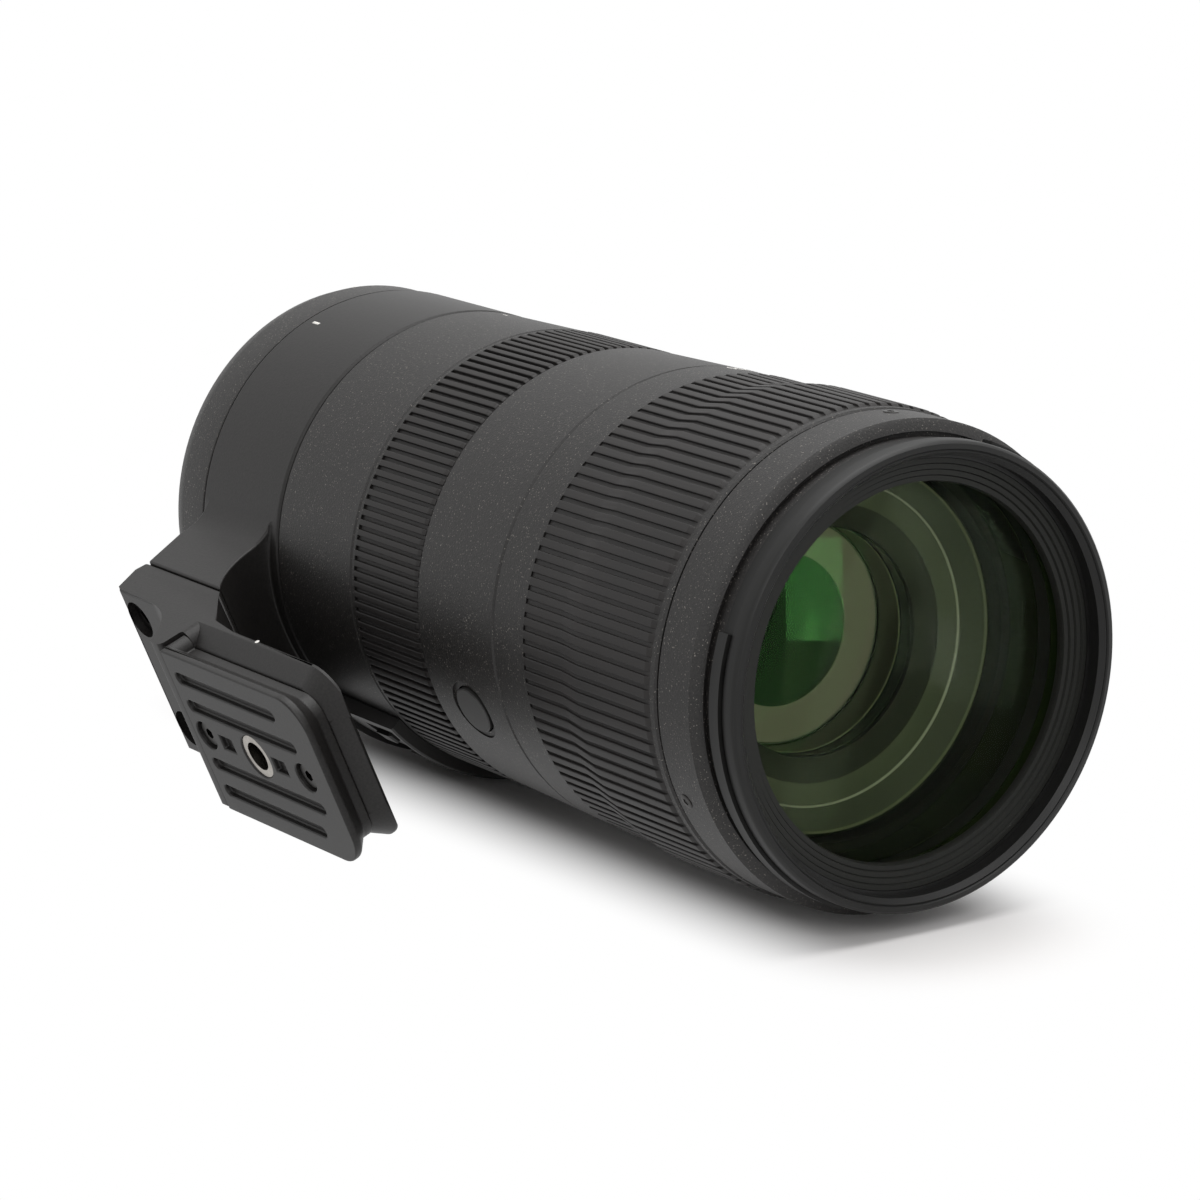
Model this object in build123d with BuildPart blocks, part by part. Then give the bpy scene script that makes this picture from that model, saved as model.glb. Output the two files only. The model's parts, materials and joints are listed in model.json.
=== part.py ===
from build123d import *
import os
from math import atan2, cos, degrees, radians, sin, sqrt

os.makedirs("parts", exist_ok=True)

# The lens lies as it does on a table: optical axis along Y, front towards -Y, +Z up.
# The origin is the centre of the camera flange. Every length is in millimetres, and
# "ahead" is a distance in front of the flange. Clock angles start at the top, +Z, and
# grow towards -X. "Across" is a distance to the side of the foot's middle plane.

# Lengths of the outer rings, from the camera flange forwards
seam = 0.3
flange_thickness = 1.5
rear_cover_length = 16.6
collar_length = 29.6
switch_barrel_length = 28.5
focus_ring_length = 23.7
mid_barrel_length = 27.3
zoom_ring_length = 53.8
front_barrel_length = 11.1
bayonet_length = 5.1
rim_length = 3.9

rear_cover_back = flange_thickness
rear_cover_front = rear_cover_back + rear_cover_length
collar_back = rear_cover_front + seam
collar_front = collar_back + collar_length
switch_barrel_back = collar_front + seam
switch_barrel_front = switch_barrel_back + switch_barrel_length
focus_back = switch_barrel_front + seam
focus_front = focus_back + focus_ring_length
mid_back = focus_front + seam
mid_front = mid_back + mid_barrel_length
zoom_back = mid_front + seam
zoom_front = zoom_back + zoom_ring_length
barrel_back = zoom_front + seam
shoulder = barrel_back + front_barrel_length
rim_back = shoulder + bayonet_length
rim_front = rim_back + rim_length

# Clearances
turning_gap = 0.3
seat_gap = 0.1
pivot_gap = 0.08
cut_overrun = 1.0
edge = 0.4

# The fixed tube carries every outer ring, and the moving tubes run inside it
tube_radius = 41.6
tube_wall = 1.4
cam_wall = 1.4
guide_wall = 1.5
ring_bore = tube_radius + turning_gap
cover_bore = tube_radius + seat_gap
tube_bore = tube_radius - tube_wall
cam_radius = tube_bore - turning_gap
cam_bore = cam_radius - cam_wall
guide_radius = cam_bore - turning_gap
guide_bore = guide_radius - guide_wall
sliding_radius = guide_bore - turning_gap
seated_radius = guide_bore - seat_gap

optical_axis = Axis((0, 0, 0), (0, -1, 0))


def outward(clock):
    """Direction away from the optical axis at a clock angle."""
    return Vector(-sin(radians(clock)), 0, cos(radians(clock)))


def meridian(clock):
    """Plane through the optical axis: x is the radius, y runs towards the camera."""
    direction = outward(clock)
    return Plane(origin=(0, 0, 0), x_dir=direction, z_dir=direction.cross(Vector(0, 1, 0)))


def facing(clock, ahead, height=0):
    """Plane whose normal points away from the axis: x runs towards the camera."""
    direction = outward(clock)
    return Plane(
        origin=direction * height + Vector(0, -ahead, 0), x_dir=(0, 1, 0), z_dir=direction
    )


def crossing(ahead, clock=0):
    """Plane square to the optical axis: its normal points ahead and its x is a clock angle."""
    return Plane(origin=(0, -ahead, 0), x_dir=outward(clock), z_dir=(0, -1, 0))


def turn(outline, clock=0, arc=360, mode=Mode.ADD):
    """Revolves a closed outline of (radius, ahead) points, from a clock angle onwards."""
    with BuildSketch(meridian(clock)) as profile:
        with BuildLine():
            Polyline(*[(radius, -ahead) for radius, ahead in outline], close=True)
        make_face()
    revolve(profile.sketch, axis=optical_axis, revolution_arc=arc, mode=mode)


def band(inner, outer, back, front, clock=0, arc=360, mode=Mode.ADD):
    """Revolves a rectangle: a plain ring, or a sector of one."""
    outline = [(inner, back), (outer, back), (outer, front), (inner, front)]
    turn(outline, clock, arc, mode)


def keep(piece, name):
    """Labels a finished piece and writes its file."""
    piece.part.label = name
    export_step(piece.part, f"parts/{name}.step")


def sag(curve, radius):
    """Depth of a spherical face at a radius; a negative curve is a hollow face."""
    depth = abs(curve) - sqrt(curve * curve - radius * radius)
    return depth if curve > 0 else -depth


def grind(rim, front, front_curve, back, back_curve):
    """Revolves one glass element between two spherical faces."""
    half = rim / 2
    front_edge = front - sag(front_curve, rim)
    back_edge = back + sag(back_curve, rim)
    with BuildSketch(meridian(0)) as profile:
        with BuildLine():
            ThreePointArc(
                (0, -front), (half, sag(front_curve, half) - front), (rim, -front_edge)
            )
            Line((rim, -front_edge), (rim, -back_edge))
            ThreePointArc(
                (rim, -back_edge), (half, -sag(back_curve, half) - back), (0, -back)
            )
            Line((0, -back), (0, -front))
        make_face()
    revolve(profile.sketch, axis=optical_axis)


# Fixed tube, with the windows that the drive lugs of the two cam tubes turn in
tube_back_inset = 5.5
tube_front_overlap = 5.0
tube_back = rear_cover_back + tube_back_inset
tube_front = barrel_back + tube_front_overlap

zoom_turn = 80
focus_turn = 90
lug_width = 6.0
lug_length = 5.0
lug_gap = 0.4
lug_arc = degrees(lug_width / tube_radius)
lug_gap_arc = degrees(lug_gap / tube_radius)
zoom_lug_clock = 200
focus_lug_clock = 20
zoom_lug_inset = 7.0
focus_lug_inset = 6.0
zoom_lug_back = zoom_back + zoom_lug_inset
focus_lug_back = focus_back + focus_lug_inset

with BuildPart() as fixed_tube:
    band(tube_bore, tube_radius, tube_back, tube_front)
    for lug_back, clock, sweep_arc in (
        (zoom_lug_back, zoom_lug_clock, zoom_turn),
        (focus_lug_back, focus_lug_clock, focus_turn),
    ):
        band(
            tube_bore - cut_overrun,
            tube_radius + cut_overrun,
            lug_back - lug_gap,
            lug_back + lug_length + lug_gap,
            clock - sweep_arc - lug_gap_arc,
            sweep_arc + lug_arc + 2 * lug_gap_arc,
            Mode.SUBTRACT,
        )
keep(fixed_tube, "fixed_tube")

# Front barrel: a smooth ring with a bevelled shoulder and the hood bayonet's groove
front_barrel_wall = 4.7
shoulder_round = 0.6
shoulder_bevel = 0.8
shoulder_step = 0.8
groove_floor_wall = 1.6
groove_inner_step = 1.0
lug_ring_length = 2.7
groove_radius = tube_radius + groove_floor_wall
front_barrel_radius = cover_bore + front_barrel_wall
lug_ring_back = rim_back - lug_ring_length
cell_bore = tube_bore + seat_gap

with BuildPart() as front_barrel:
    turn(
        [
            (cover_bore, barrel_back),
            (front_barrel_radius - edge, barrel_back),
            (front_barrel_radius, barrel_back + edge),
            (front_barrel_radius, shoulder - shoulder_bevel - shoulder_round),
            (front_barrel_radius - shoulder_round, shoulder - shoulder_bevel),
            (groove_radius + groove_inner_step, shoulder),
            (groove_radius + groove_inner_step, shoulder - shoulder_step),
            (groove_radius, shoulder - shoulder_step),
            (groove_radius, lug_ring_back),
            (cell_bore, lug_ring_back),
            (cell_bore, tube_front + seat_gap),
            (cover_bore, tube_front + seat_gap),
        ]
    )
keep(front_barrel, "front_barrel")

# Filter ring: rounded rim, filter thread's bore and two hood bayonet lugs
thread_inset = 0.6
filter_thread_length = 2.5
rim_wall = 2.4
rim_round = 0.6
rim_lip = 0.6
lip_groove = 0.35
cone_step = 0.9
cone_length = 1.2
lug_radius_step = 1.5
lug_gap_step = 0.3
lug_count = 2
hood_lug_clock = 72
hood_lug_arc = 86
filter_thread_radius = tube_radius - thread_inset
rim_radius = tube_radius + rim_wall
lug_ring_radius = groove_radius + lug_radius_step
lug_floor_radius = groove_radius + lug_gap_step
cone_radius = filter_thread_radius + cone_step
thread_front = rim_front - cone_length
thread_back = thread_front - filter_thread_length

with BuildPart() as filter_ring:
    turn(
        [
            (cell_bore, lug_ring_back),
            (lug_floor_radius, lug_ring_back),
            (lug_floor_radius, rim_back),
            (rim_radius, rim_back + edge),
            (rim_radius, rim_front - 2 * rim_round),
            (rim_radius - rim_round / 3, rim_front - rim_round),
            (rim_radius - rim_round, rim_front - rim_round / 3),
            (cone_radius + rim_lip, rim_front),
            (cone_radius + lip_groove, rim_front - lip_groove),
            (cone_radius, rim_front - lip_groove / 2),
            (filter_thread_radius, thread_front),
            (filter_thread_radius, thread_back),
            (cell_bore, thread_back),
        ]
    )
    for index in range(lug_count):
        band(
            groove_radius,
            lug_ring_radius,
            lug_ring_back,
            rim_back,
            hood_lug_clock + index * 360 / lug_count,
            hood_lug_arc,
        )
keep(filter_ring, "filter_ring")

# Front glass group: a metal cell, three elements and the grooved ring that holds them
front_glass_inset = 4.0
front_glass_lip = 2.0
front_glass_curve = 290
retainer_height = 3.0
retainer_steps = 4
retainer_step_depth = 0.4
retainer_groove = 0.25
front_glass_edge = 5.2
cell_floor = 2.0
front_glass_radius = tube_radius - front_glass_inset
front_clear_radius = front_glass_radius - front_glass_lip
retainer_back = thread_back - retainer_height
front_glass_bore = front_glass_radius + seat_gap
retainer_radius = cell_bore - seat_gap
cell_front = retainer_back - seat_gap
retainer_pitch = (retainer_radius - front_clear_radius) / retainer_steps

retainer_outline = [(front_clear_radius, retainer_back), (retainer_radius, retainer_back)]
for index in range(retainer_steps):
    step_radius = retainer_radius - index * retainer_pitch
    step_height = thread_back - seat_gap - index * retainer_step_depth
    retainer_outline += [
        (step_radius, step_height),
        (step_radius - retainer_pitch + retainer_groove, step_height),
        (step_radius - retainer_pitch, step_height - retainer_step_depth - retainer_groove),
    ]

with BuildPart() as front_retaining_ring:
    turn(retainer_outline)
keep(front_retaining_ring, "front_retaining_ring")

glass_front = retainer_back + sag(front_glass_curve, front_clear_radius)
front_rim_front = glass_front - sag(front_glass_curve, front_glass_radius)
front_rim_back = front_rim_front - front_glass_edge

front_back_curve = 900
with BuildPart() as front_element:
    grind(
        front_glass_radius,
        glass_front,
        front_glass_curve,
        front_rim_back - sag(front_back_curve, front_glass_radius),
        front_back_curve,
    )
keep(front_element, "front_element")

element_spacer = 0.3
second_curve = 240
second_back_curve = 88
second_thickness = 3.4
third_thickness = 12.0
third_back_curve = 420
second_front = front_rim_back - sag(front_back_curve, front_glass_radius) - element_spacer
second_back = second_front - second_thickness
third_front = second_back - element_spacer
third_back = third_front - third_thickness

with BuildPart() as front_group_elements:
    grind(front_glass_radius, second_front, second_curve, second_back, -second_back_curve)
    grind(front_glass_radius, third_front, second_back_curve, third_back, third_back_curve)
keep(front_group_elements, "front_group_elements")

cell_back = third_back + sag(third_back_curve, front_glass_radius) - cell_floor - element_spacer
with BuildPart() as front_cell:
    turn(
        [
            (front_glass_radius - cell_floor, cell_back),
            (retainer_radius, cell_back),
            (retainer_radius, cell_front),
            (front_glass_bore, cell_front),
            (front_glass_bore, cell_back + cell_floor),
            (front_glass_radius - cell_floor, cell_back + cell_floor),
        ]
    )
keep(front_cell, "front_cell")


# Zoom ring: a metal ring with a front lip and a smooth band that carries the scale
zoom_ring_wall = 2.7
zoom_band_rise = 1.2
zoom_band_length = 10.2
zoom_lip_rise = 2.0
zoom_lip_length = 1.7
lug_pocket = 1.2
zoom_core_radius = ring_bore + zoom_ring_wall
zoom_band_radius = zoom_core_radius + zoom_band_rise
zoom_lip_radius = zoom_core_radius + zoom_lip_rise
zoom_grip_back = zoom_back + zoom_band_length
zoom_grip_front = zoom_front - zoom_lip_length
lug_radius = ring_bore + lug_pocket


def lug_space(lug_back, clock, mode, gap=0):
    """The drive lug of a cam tube, or with a gap the pocket that it sits in."""
    gap_arc = degrees(gap / tube_radius)
    band(
        cam_radius - cam_wall / 2,
        lug_radius + gap,
        lug_back - gap,
        lug_back + lug_length + gap,
        clock - gap_arc,
        lug_arc + 2 * gap_arc,
        mode,
    )


with BuildPart() as zoom_ring:
    turn(
        [
            (ring_bore, zoom_back),
            (zoom_band_radius - edge, zoom_back),
            (zoom_band_radius, zoom_back + edge),
            (zoom_band_radius, zoom_grip_back),
            (zoom_core_radius, zoom_grip_back),
            (zoom_core_radius, zoom_grip_front),
            (zoom_lip_radius, zoom_grip_front),
            (zoom_lip_radius, zoom_front - edge),
            (zoom_lip_radius - edge, zoom_front),
            (ring_bore, zoom_front),
        ]
    )
    lug_space(zoom_lug_back, zoom_lug_clock, Mode.SUBTRACT, seat_gap)
keep(zoom_ring, "zoom_ring")

# Zoom grip: ribs along the axis, all stepping up to a larger radius ahead of a ramp
zoom_rib_count = 113
zoom_rib_height = 0.6
zoom_groove_width = 0.95
zoom_rubber_base = 0.9
grip_low_length = 12.5
grip_ramp_length = 6.5
grip_step = 1.0
grip_bevel = 1.0
ramp_back = zoom_grip_back + grip_low_length
ramp_front = ramp_back + grip_ramp_length
grip_floor = zoom_core_radius + zoom_rubber_base
grip_low_radius = grip_floor + zoom_rib_height
grip_high_radius = grip_low_radius + grip_step
grip_reach = grip_high_radius + cut_overrun

with BuildPart() as zoom_grooves:
    with BuildSketch(crossing(zoom_grip_back - cut_overrun)):
        with PolarLocations((grip_floor + grip_reach) / 2, zoom_rib_count):
            Rectangle(2 * (grip_reach - grip_floor), zoom_groove_width)
    extrude(amount=zoom_grip_front - zoom_grip_back + 2 * cut_overrun)
    turn(
        [
            (grip_floor, zoom_grip_back - cut_overrun),
            (grip_reach, zoom_grip_back - cut_overrun),
            (grip_reach, zoom_grip_front + cut_overrun),
            (grip_floor + grip_step, zoom_grip_front + cut_overrun),
            (grip_floor + grip_step, ramp_front),
            (grip_floor, ramp_back),
        ],
        mode=Mode.INTERSECT,
    )

with BuildPart() as zoom_rubber:
    turn(
        [
            (zoom_core_radius + seat_gap, zoom_grip_back),
            (grip_low_radius - edge, zoom_grip_back),
            (grip_low_radius, zoom_grip_back + edge),
            (grip_low_radius, ramp_back),
            (grip_high_radius, ramp_front),
            (grip_high_radius, zoom_grip_front - grip_bevel),
            (grip_high_radius - zoom_rib_height, zoom_grip_front),
            (zoom_core_radius + seat_gap, zoom_grip_front),
        ]
    )
    add(zoom_grooves.part, mode=Mode.SUBTRACT)
keep(zoom_rubber, "zoom_rubber")

# Cam tubes: each turns with its ring, and its sloping slots drive the followers of a
# lens cell that slides in the straight slots of the guide tube
follower_radius = 1.5
follower_count = 3
follower_end_gap = 0.3
slot_gap = 0.3
slot_end_arc = 4
slot_width = 2 * (follower_radius + slot_gap)
slot_radius = (cam_radius + cam_bore) / 2
slot_depth = cam_wall + 2 * cut_overrun


def cam_slot(clock, ahead, turning, advance):
    """Helical cutter: a follower moves along it by the advance over the whole turning."""
    rate = advance / turning
    start = -slot_end_arc if advance > 0 else turning + slot_end_arc
    height = abs(rate) * (turning + 2 * slot_end_arc)
    with BuildLine() as path:
        Helix(abs(rate) * 360, height, slot_radius, lefthand=advance < 0)
    with BuildSketch(
        Plane(origin=path.line @ 0, x_dir=(1, 0, 0), z_dir=path.line % 0)
    ) as section:
        Rectangle(slot_depth, slot_width)
    with BuildPart() as cutter:
        sweep(section.sketch, path=path.line, is_frenet=True)
    return crossing(ahead + rate * start, clock + start).location * cutter.part


variator_travel = 34.0
compensator_travel = 8.0
focus_travel = 5.0
zoom_cam_length = 72.0
zoom_cam_inset = 3.0
cam_spacing = 2.0
focus_cam_length = 18.0
variator_length = 12.0
compensator_length = 10.0
focus_cell_length = 10.0
variator_clock = 30
compensator_clock = 90
focus_clock = 60
cell_spacing = 3.0

zoom_cam_front = cell_back - zoom_cam_inset
zoom_cam_back = zoom_cam_front - zoom_cam_length
focus_cam_front = zoom_cam_back - cam_spacing
focus_cam_back = focus_cam_front - focus_cam_length
variator_middle = zoom_cam_front - variator_length / 2 - cell_spacing
compensator_middle = variator_middle - variator_travel - compensator_travel
compensator_middle -= (variator_length + compensator_length) / 2 + cell_spacing
focus_middle = focus_cam_back + focus_cam_length / 2 - focus_travel / 2
follower_clocks = [index * 360 / follower_count for index in range(follower_count)]

zoom_slots = [
    cam_slot(first + clock, middle, zoom_turn, advance)
    for first, middle, advance in (
        (variator_clock, variator_middle, -variator_travel),
        (compensator_clock, compensator_middle, compensator_travel),
    )
    for clock in follower_clocks
]
focus_slots = [
    cam_slot(focus_clock + clock, focus_middle, focus_turn, focus_travel)
    for clock in follower_clocks
]

with BuildPart() as cam_tube:
    band(cam_bore, cam_radius, zoom_cam_back, zoom_cam_front)
    lug_space(zoom_lug_back, zoom_lug_clock, Mode.ADD)
    add(zoom_slots, mode=Mode.SUBTRACT)
keep(cam_tube, "cam_tube")

with BuildPart() as focus_cam:
    band(cam_bore, cam_radius, focus_cam_back, focus_cam_front)
    lug_space(focus_lug_back, focus_lug_clock, Mode.ADD)
    add(focus_slots, mode=Mode.SUBTRACT)
keep(focus_cam, "focus_cam")

# Sliding cells: a spool round the glass, with three follower pins in its outer ring
spool_wall = 2.0
spool_web = 2.4
sleeve_wall = 1.6
follower_end = cam_radius - follower_end_gap


def spool(outer, sleeve_bore, middle, length, flange_wall=spool_wall):
    """An outer ring and an inner sleeve joined by a web."""
    back = middle - length / 2
    front = middle + length / 2
    sleeve = sleeve_bore + sleeve_wall
    rim = outer - flange_wall
    turn(
        [
            (sleeve_bore, back),
            (sleeve, back),
            (sleeve, middle - spool_web / 2),
            (rim, middle - spool_web / 2),
            (rim, back),
            (outer, back),
            (outer, front),
            (rim, front),
            (rim, middle + spool_web / 2),
            (sleeve, middle + spool_web / 2),
            (sleeve, front),
            (sleeve_bore, front),
        ]
    )


def followers(first, middle):
    """Three round pins that reach from the cell's ring into the cam tube's slots."""
    for clock in follower_clocks:
        with BuildSketch(facing(first + clock, middle, sliding_radius - spool_wall / 2)) as pin:
            Circle(follower_radius)
        extrude(pin.sketch, amount=follower_end - sliding_radius + spool_wall / 2)


variator_glass_depth = 15.4
variator_front_curve = 400
variator_curve = 90
variator_back_curve = 200
variator_thickness = 1.8
compensator_glass_depth = 14.4
compensator_curve = 95
compensator_thickness = 7.0
focus_glass_depth = 16.4
focus_curve = 110
focus_thickness = 3.0
variator_glass_radius = sliding_radius - variator_glass_depth
compensator_glass_radius = sliding_radius - compensator_glass_depth
focus_glass_radius = sliding_radius - focus_glass_depth

with BuildPart() as variator_cell:
    spool(sliding_radius, variator_glass_radius + seat_gap, variator_middle, variator_length)
    followers(variator_clock, variator_middle)
keep(variator_cell, "variator_cell")

variator_front = variator_middle + variator_length / 2 - element_spacer
variator_gap_back = variator_front - variator_thickness - element_spacer
variator_gap_back -= 2 * sag(variator_curve, variator_glass_radius)
with BuildPart() as variator_elements:
    grind(
        variator_glass_radius,
        variator_front,
        variator_front_curve,
        variator_front - variator_thickness,
        -variator_curve,
    )
    grind(
        variator_glass_radius,
        variator_gap_back,
        -variator_curve,
        variator_gap_back - variator_thickness,
        -variator_back_curve,
    )
keep(variator_elements, "variator_elements")

with BuildPart() as compensator_cell:
    spool(
        sliding_radius,
        compensator_glass_radius + seat_gap,
        compensator_middle,
        compensator_length,
    )
    followers(compensator_clock, compensator_middle)
keep(compensator_cell, "compensator_cell")

with BuildPart() as compensator_elements:
    grind(
        compensator_glass_radius,
        compensator_middle + compensator_thickness / 2,
        compensator_curve,
        compensator_middle - compensator_thickness / 2,
        compensator_curve,
    )
keep(compensator_elements, "compensator_elements")

with BuildPart() as focus_cell:
    spool(sliding_radius, focus_glass_radius + seat_gap, focus_middle, focus_cell_length)
    followers(focus_clock, focus_middle)
keep(focus_cell, "focus_cell")

with BuildPart() as focus_elements:
    grind(
        focus_glass_radius,
        focus_middle + focus_thickness / 2,
        -focus_curve,
        focus_middle - focus_thickness / 2,
        -focus_curve,
    )
keep(focus_elements, "focus_elements")

# Guide tube: fixed inside the cam tubes, with a straight slot for each follower
guide_back = 20.0
guide_flange_length = 3.0
stator_length = 8.0
guide_front = zoom_cam_front + zoom_cam_inset - seat_gap
stator_front = focus_cam_back - turning_gap
guide_flange_back = stator_front - stator_length - guide_flange_length


def guide_slots(first, middle, travel):
    """Straight slots along the axis, one for each follower of a cell."""
    for clock in follower_clocks:
        plane = facing(first + clock, middle + travel / 2, guide_bore - cut_overrun)
        with BuildSketch(plane) as slot:
            SlotCenterToCenter(abs(travel), slot_width)
        extrude(slot.sketch, amount=guide_wall + 2 * cut_overrun, mode=Mode.SUBTRACT)


with BuildPart() as guide_tube:
    band(guide_bore, guide_radius, guide_back, guide_front)
    band(guide_bore, tube_bore - seat_gap, guide_back, guide_flange_back + guide_flange_length)
    band(
        guide_radius,
        tube_bore - seat_gap + cut_overrun,
        guide_back + guide_flange_length,
        guide_flange_back,
        mode=Mode.SUBTRACT,
    )
    band(guide_bore, tube_bore - seat_gap, zoom_cam_front + zoom_cam_inset / 3, guide_front)
    guide_slots(variator_clock, variator_middle, -variator_travel)
    guide_slots(compensator_clock, compensator_middle, compensator_travel)
    guide_slots(focus_clock, focus_middle, focus_travel)
keep(guide_tube, "guide_tube")

# Ring motor: its comb of teeth drives the back face of the focus cam
stator_teeth = 48
tooth_depth = 2.2
tooth_gap = 1.4
with BuildPart() as focus_motor_stator:
    band(
        guide_radius + seat_gap,
        tube_bore - seat_gap,
        stator_front - stator_length,
        stator_front,
    )
    with BuildSketch(crossing(stator_front - tooth_depth)):
        with PolarLocations(tube_bore, stator_teeth):
            Rectangle(tube_radius - cam_bore + cut_overrun, tooth_gap)
    extrude(amount=tooth_depth, mode=Mode.SUBTRACT)
keep(focus_motor_stator, "focus_motor_stator")

# Middle barrel, with a round recess for each function button
mid_back_wall = 3.3
mid_front_wall = 4.0
button_count = 3
button_clock = 114.5
button_pitch = 90
button_ahead_share = 0.51
button_radius = 4.9
button_ring_radius = 6.4
button_ring_depth = 0.7
button_height = 1.3
button_travel = 0.6
button_proud = 0.15
stem_radius = 2.4
button_ahead = mid_back + button_ahead_share * mid_barrel_length
mid_wall_at_button = mid_back_wall + button_ahead_share * (mid_front_wall - mid_back_wall)
button_top = cover_bore + mid_wall_at_button + button_proud
button_bottom = button_top - button_height
ring_floor = cover_bore + mid_wall_at_button - button_ring_depth
button_clocks = [button_clock + index * button_pitch for index in range(button_count)]

with BuildPart() as mid_barrel:
    turn(
        [
            (cover_bore, mid_back),
            (cover_bore + mid_back_wall - edge, mid_back),
            (cover_bore + mid_back_wall, mid_back + edge),
            (cover_bore + mid_front_wall, mid_front - edge),
            (cover_bore + mid_front_wall - edge, mid_front),
            (cover_bore, mid_front),
        ]
    )
    for clock in button_clocks:
        for floor_radius, hole_radius in (
            (ring_floor, button_ring_radius),
            (button_bottom - button_travel - turning_gap, button_radius + turning_gap),
            (cover_bore - cut_overrun, stem_radius + turning_gap),
        ):
            with BuildSketch(facing(clock, button_ahead, floor_radius)) as recess:
                Circle(hole_radius)
            extrude(
                recess.sketch,
                amount=button_top - floor_radius + cut_overrun,
                mode=Mode.SUBTRACT,
            )
keep(mid_barrel, "mid_barrel")

stem_end = tube_radius + button_travel + turning_gap / 2
for index, clock in enumerate(button_clocks):
    with BuildPart() as function_button:
        with BuildSketch(facing(clock, button_ahead, button_bottom)):
            Circle(button_radius)
        extrude(amount=button_height)
        chamfer(function_button.faces().sort_by(SortBy.AREA)[-1].edges(), edge / 2)
        with BuildSketch(facing(clock, button_ahead, stem_end)):
            Circle(stem_radius)
        extrude(amount=button_bottom - stem_end)
    keep(function_button, f"function_button_{index + 1}")

# Focus ring and its finer straight ribs
focus_ring_wall = 1.5
focus_flange_length = 0.8
focus_flange_rise = 1.4
focus_rubber_base = 0.9
focus_rib_height = 0.8
focus_rib_count = 137
focus_groove_width = 0.85
focus_core_radius = ring_bore + focus_ring_wall
focus_grip_back = focus_back + focus_flange_length
focus_floor = focus_core_radius + focus_rubber_base
focus_rib_radius = focus_floor + focus_rib_height

with BuildPart() as focus_ring:
    turn(
        [
            (ring_bore, focus_back),
            (focus_core_radius + focus_flange_rise, focus_back),
            (focus_core_radius + focus_flange_rise, focus_grip_back),
            (focus_core_radius, focus_grip_back),
            (focus_core_radius, focus_front),
            (ring_bore, focus_front),
        ]
    )
    lug_space(focus_lug_back, focus_lug_clock, Mode.SUBTRACT, seat_gap)
keep(focus_ring, "focus_ring")

with BuildPart() as focus_rubber:
    turn(
        [
            (focus_core_radius + seat_gap, focus_grip_back),
            (focus_rib_radius - edge, focus_grip_back),
            (focus_rib_radius, focus_grip_back + edge),
            (focus_rib_radius, focus_front - 2 * edge),
            (focus_rib_radius - edge, focus_front),
            (focus_core_radius + seat_gap, focus_front),
        ]
    )
    with BuildSketch(crossing(focus_grip_back - cut_overrun)):
        with PolarLocations(focus_floor + focus_rib_height, focus_rib_count):
            Rectangle(2 * focus_rib_height, focus_groove_width)
    extrude(amount=focus_front - focus_grip_back + 2 * cut_overrun, mode=Mode.SUBTRACT)
keep(focus_rubber, "focus_rubber")

# Switch barrel, with a raised switch panel and four sliding switches
switch_back_wall = 2.6
switch_front_wall = 3.2
panel_start = 132.7
panel_arc = 55
panel_inset = 1.0
panel_rise = 2.8
panel_bed_depth = 1.2
panel_rim = 1.4
switch_count = 4
switch_pitch = 12
switch_length = 4.6
switch_width = 3.2
switch_travel = 2.2
switch_top_gap = 0.3
panel_back = switch_barrel_back + panel_inset
panel_front = switch_barrel_front - panel_inset
panel_radius = cover_bore + switch_front_wall + panel_rise
panel_bed_radius = panel_radius - panel_bed_depth
panel_back_radius = cover_bore + switch_back_wall + seat_gap
panel_front_radius = cover_bore + switch_front_wall + seat_gap
panel_middle = (panel_back + panel_front) / 2
panel_rim_arc = degrees(panel_rim / panel_radius)
panel_centre_clock = panel_start + panel_arc / 2

with BuildPart() as switch_barrel:
    turn(
        [
            (cover_bore, switch_barrel_back),
            (cover_bore + switch_back_wall - edge, switch_barrel_back),
            (cover_bore + switch_back_wall, switch_barrel_back + edge),
            (cover_bore + switch_front_wall, switch_barrel_front - edge),
            (cover_bore + switch_front_wall - edge, switch_barrel_front),
            (cover_bore, switch_barrel_front),
        ]
    )
keep(switch_barrel, "switch_barrel")

switch_clocks = [
    panel_centre_clock + (index - (switch_count - 1) / 2) * switch_pitch
    for index in range(switch_count)
]
switch_window = switch_length + 2 * switch_travel + 2 * turning_gap
with BuildPart() as switch_panel:
    turn(
        [
            (panel_back_radius, panel_back),
            (panel_radius - edge, panel_back),
            (panel_radius, panel_back + edge),
            (panel_radius, panel_front - edge),
            (panel_radius - edge, panel_front),
            (panel_front_radius, panel_front),
        ],
        panel_start,
        panel_arc,
    )
    band(
        panel_bed_radius,
        panel_radius + cut_overrun,
        panel_back + panel_rim,
        panel_front - panel_rim,
        panel_start + panel_rim_arc,
        panel_arc - 2 * panel_rim_arc,
        Mode.SUBTRACT,
    )
    for clock in switch_clocks:
        with BuildSketch(facing(clock, panel_middle, tube_radius)) as window:
            Rectangle(switch_window, switch_width + 2 * turning_gap)
        extrude(window.sketch, amount=panel_radius - tube_radius, mode=Mode.SUBTRACT)
keep(switch_panel, "switch_panel")

switch_foot = panel_front_radius + turning_gap
switch_top = panel_radius - switch_top_gap
switch_rest = switch_travel
for index, clock in enumerate(switch_clocks):
    with BuildPart() as slide_switch:
        with BuildSketch(facing(clock, panel_middle + switch_rest, switch_foot)):
            Rectangle(switch_length, switch_width)
        extrude(amount=switch_top - switch_foot)
        chamfer(slide_switch.faces().sort_by(SortBy.DISTANCE)[-1].edges(), edge)
    keep(slide_switch, f"slide_switch_{index + 1}")

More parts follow.
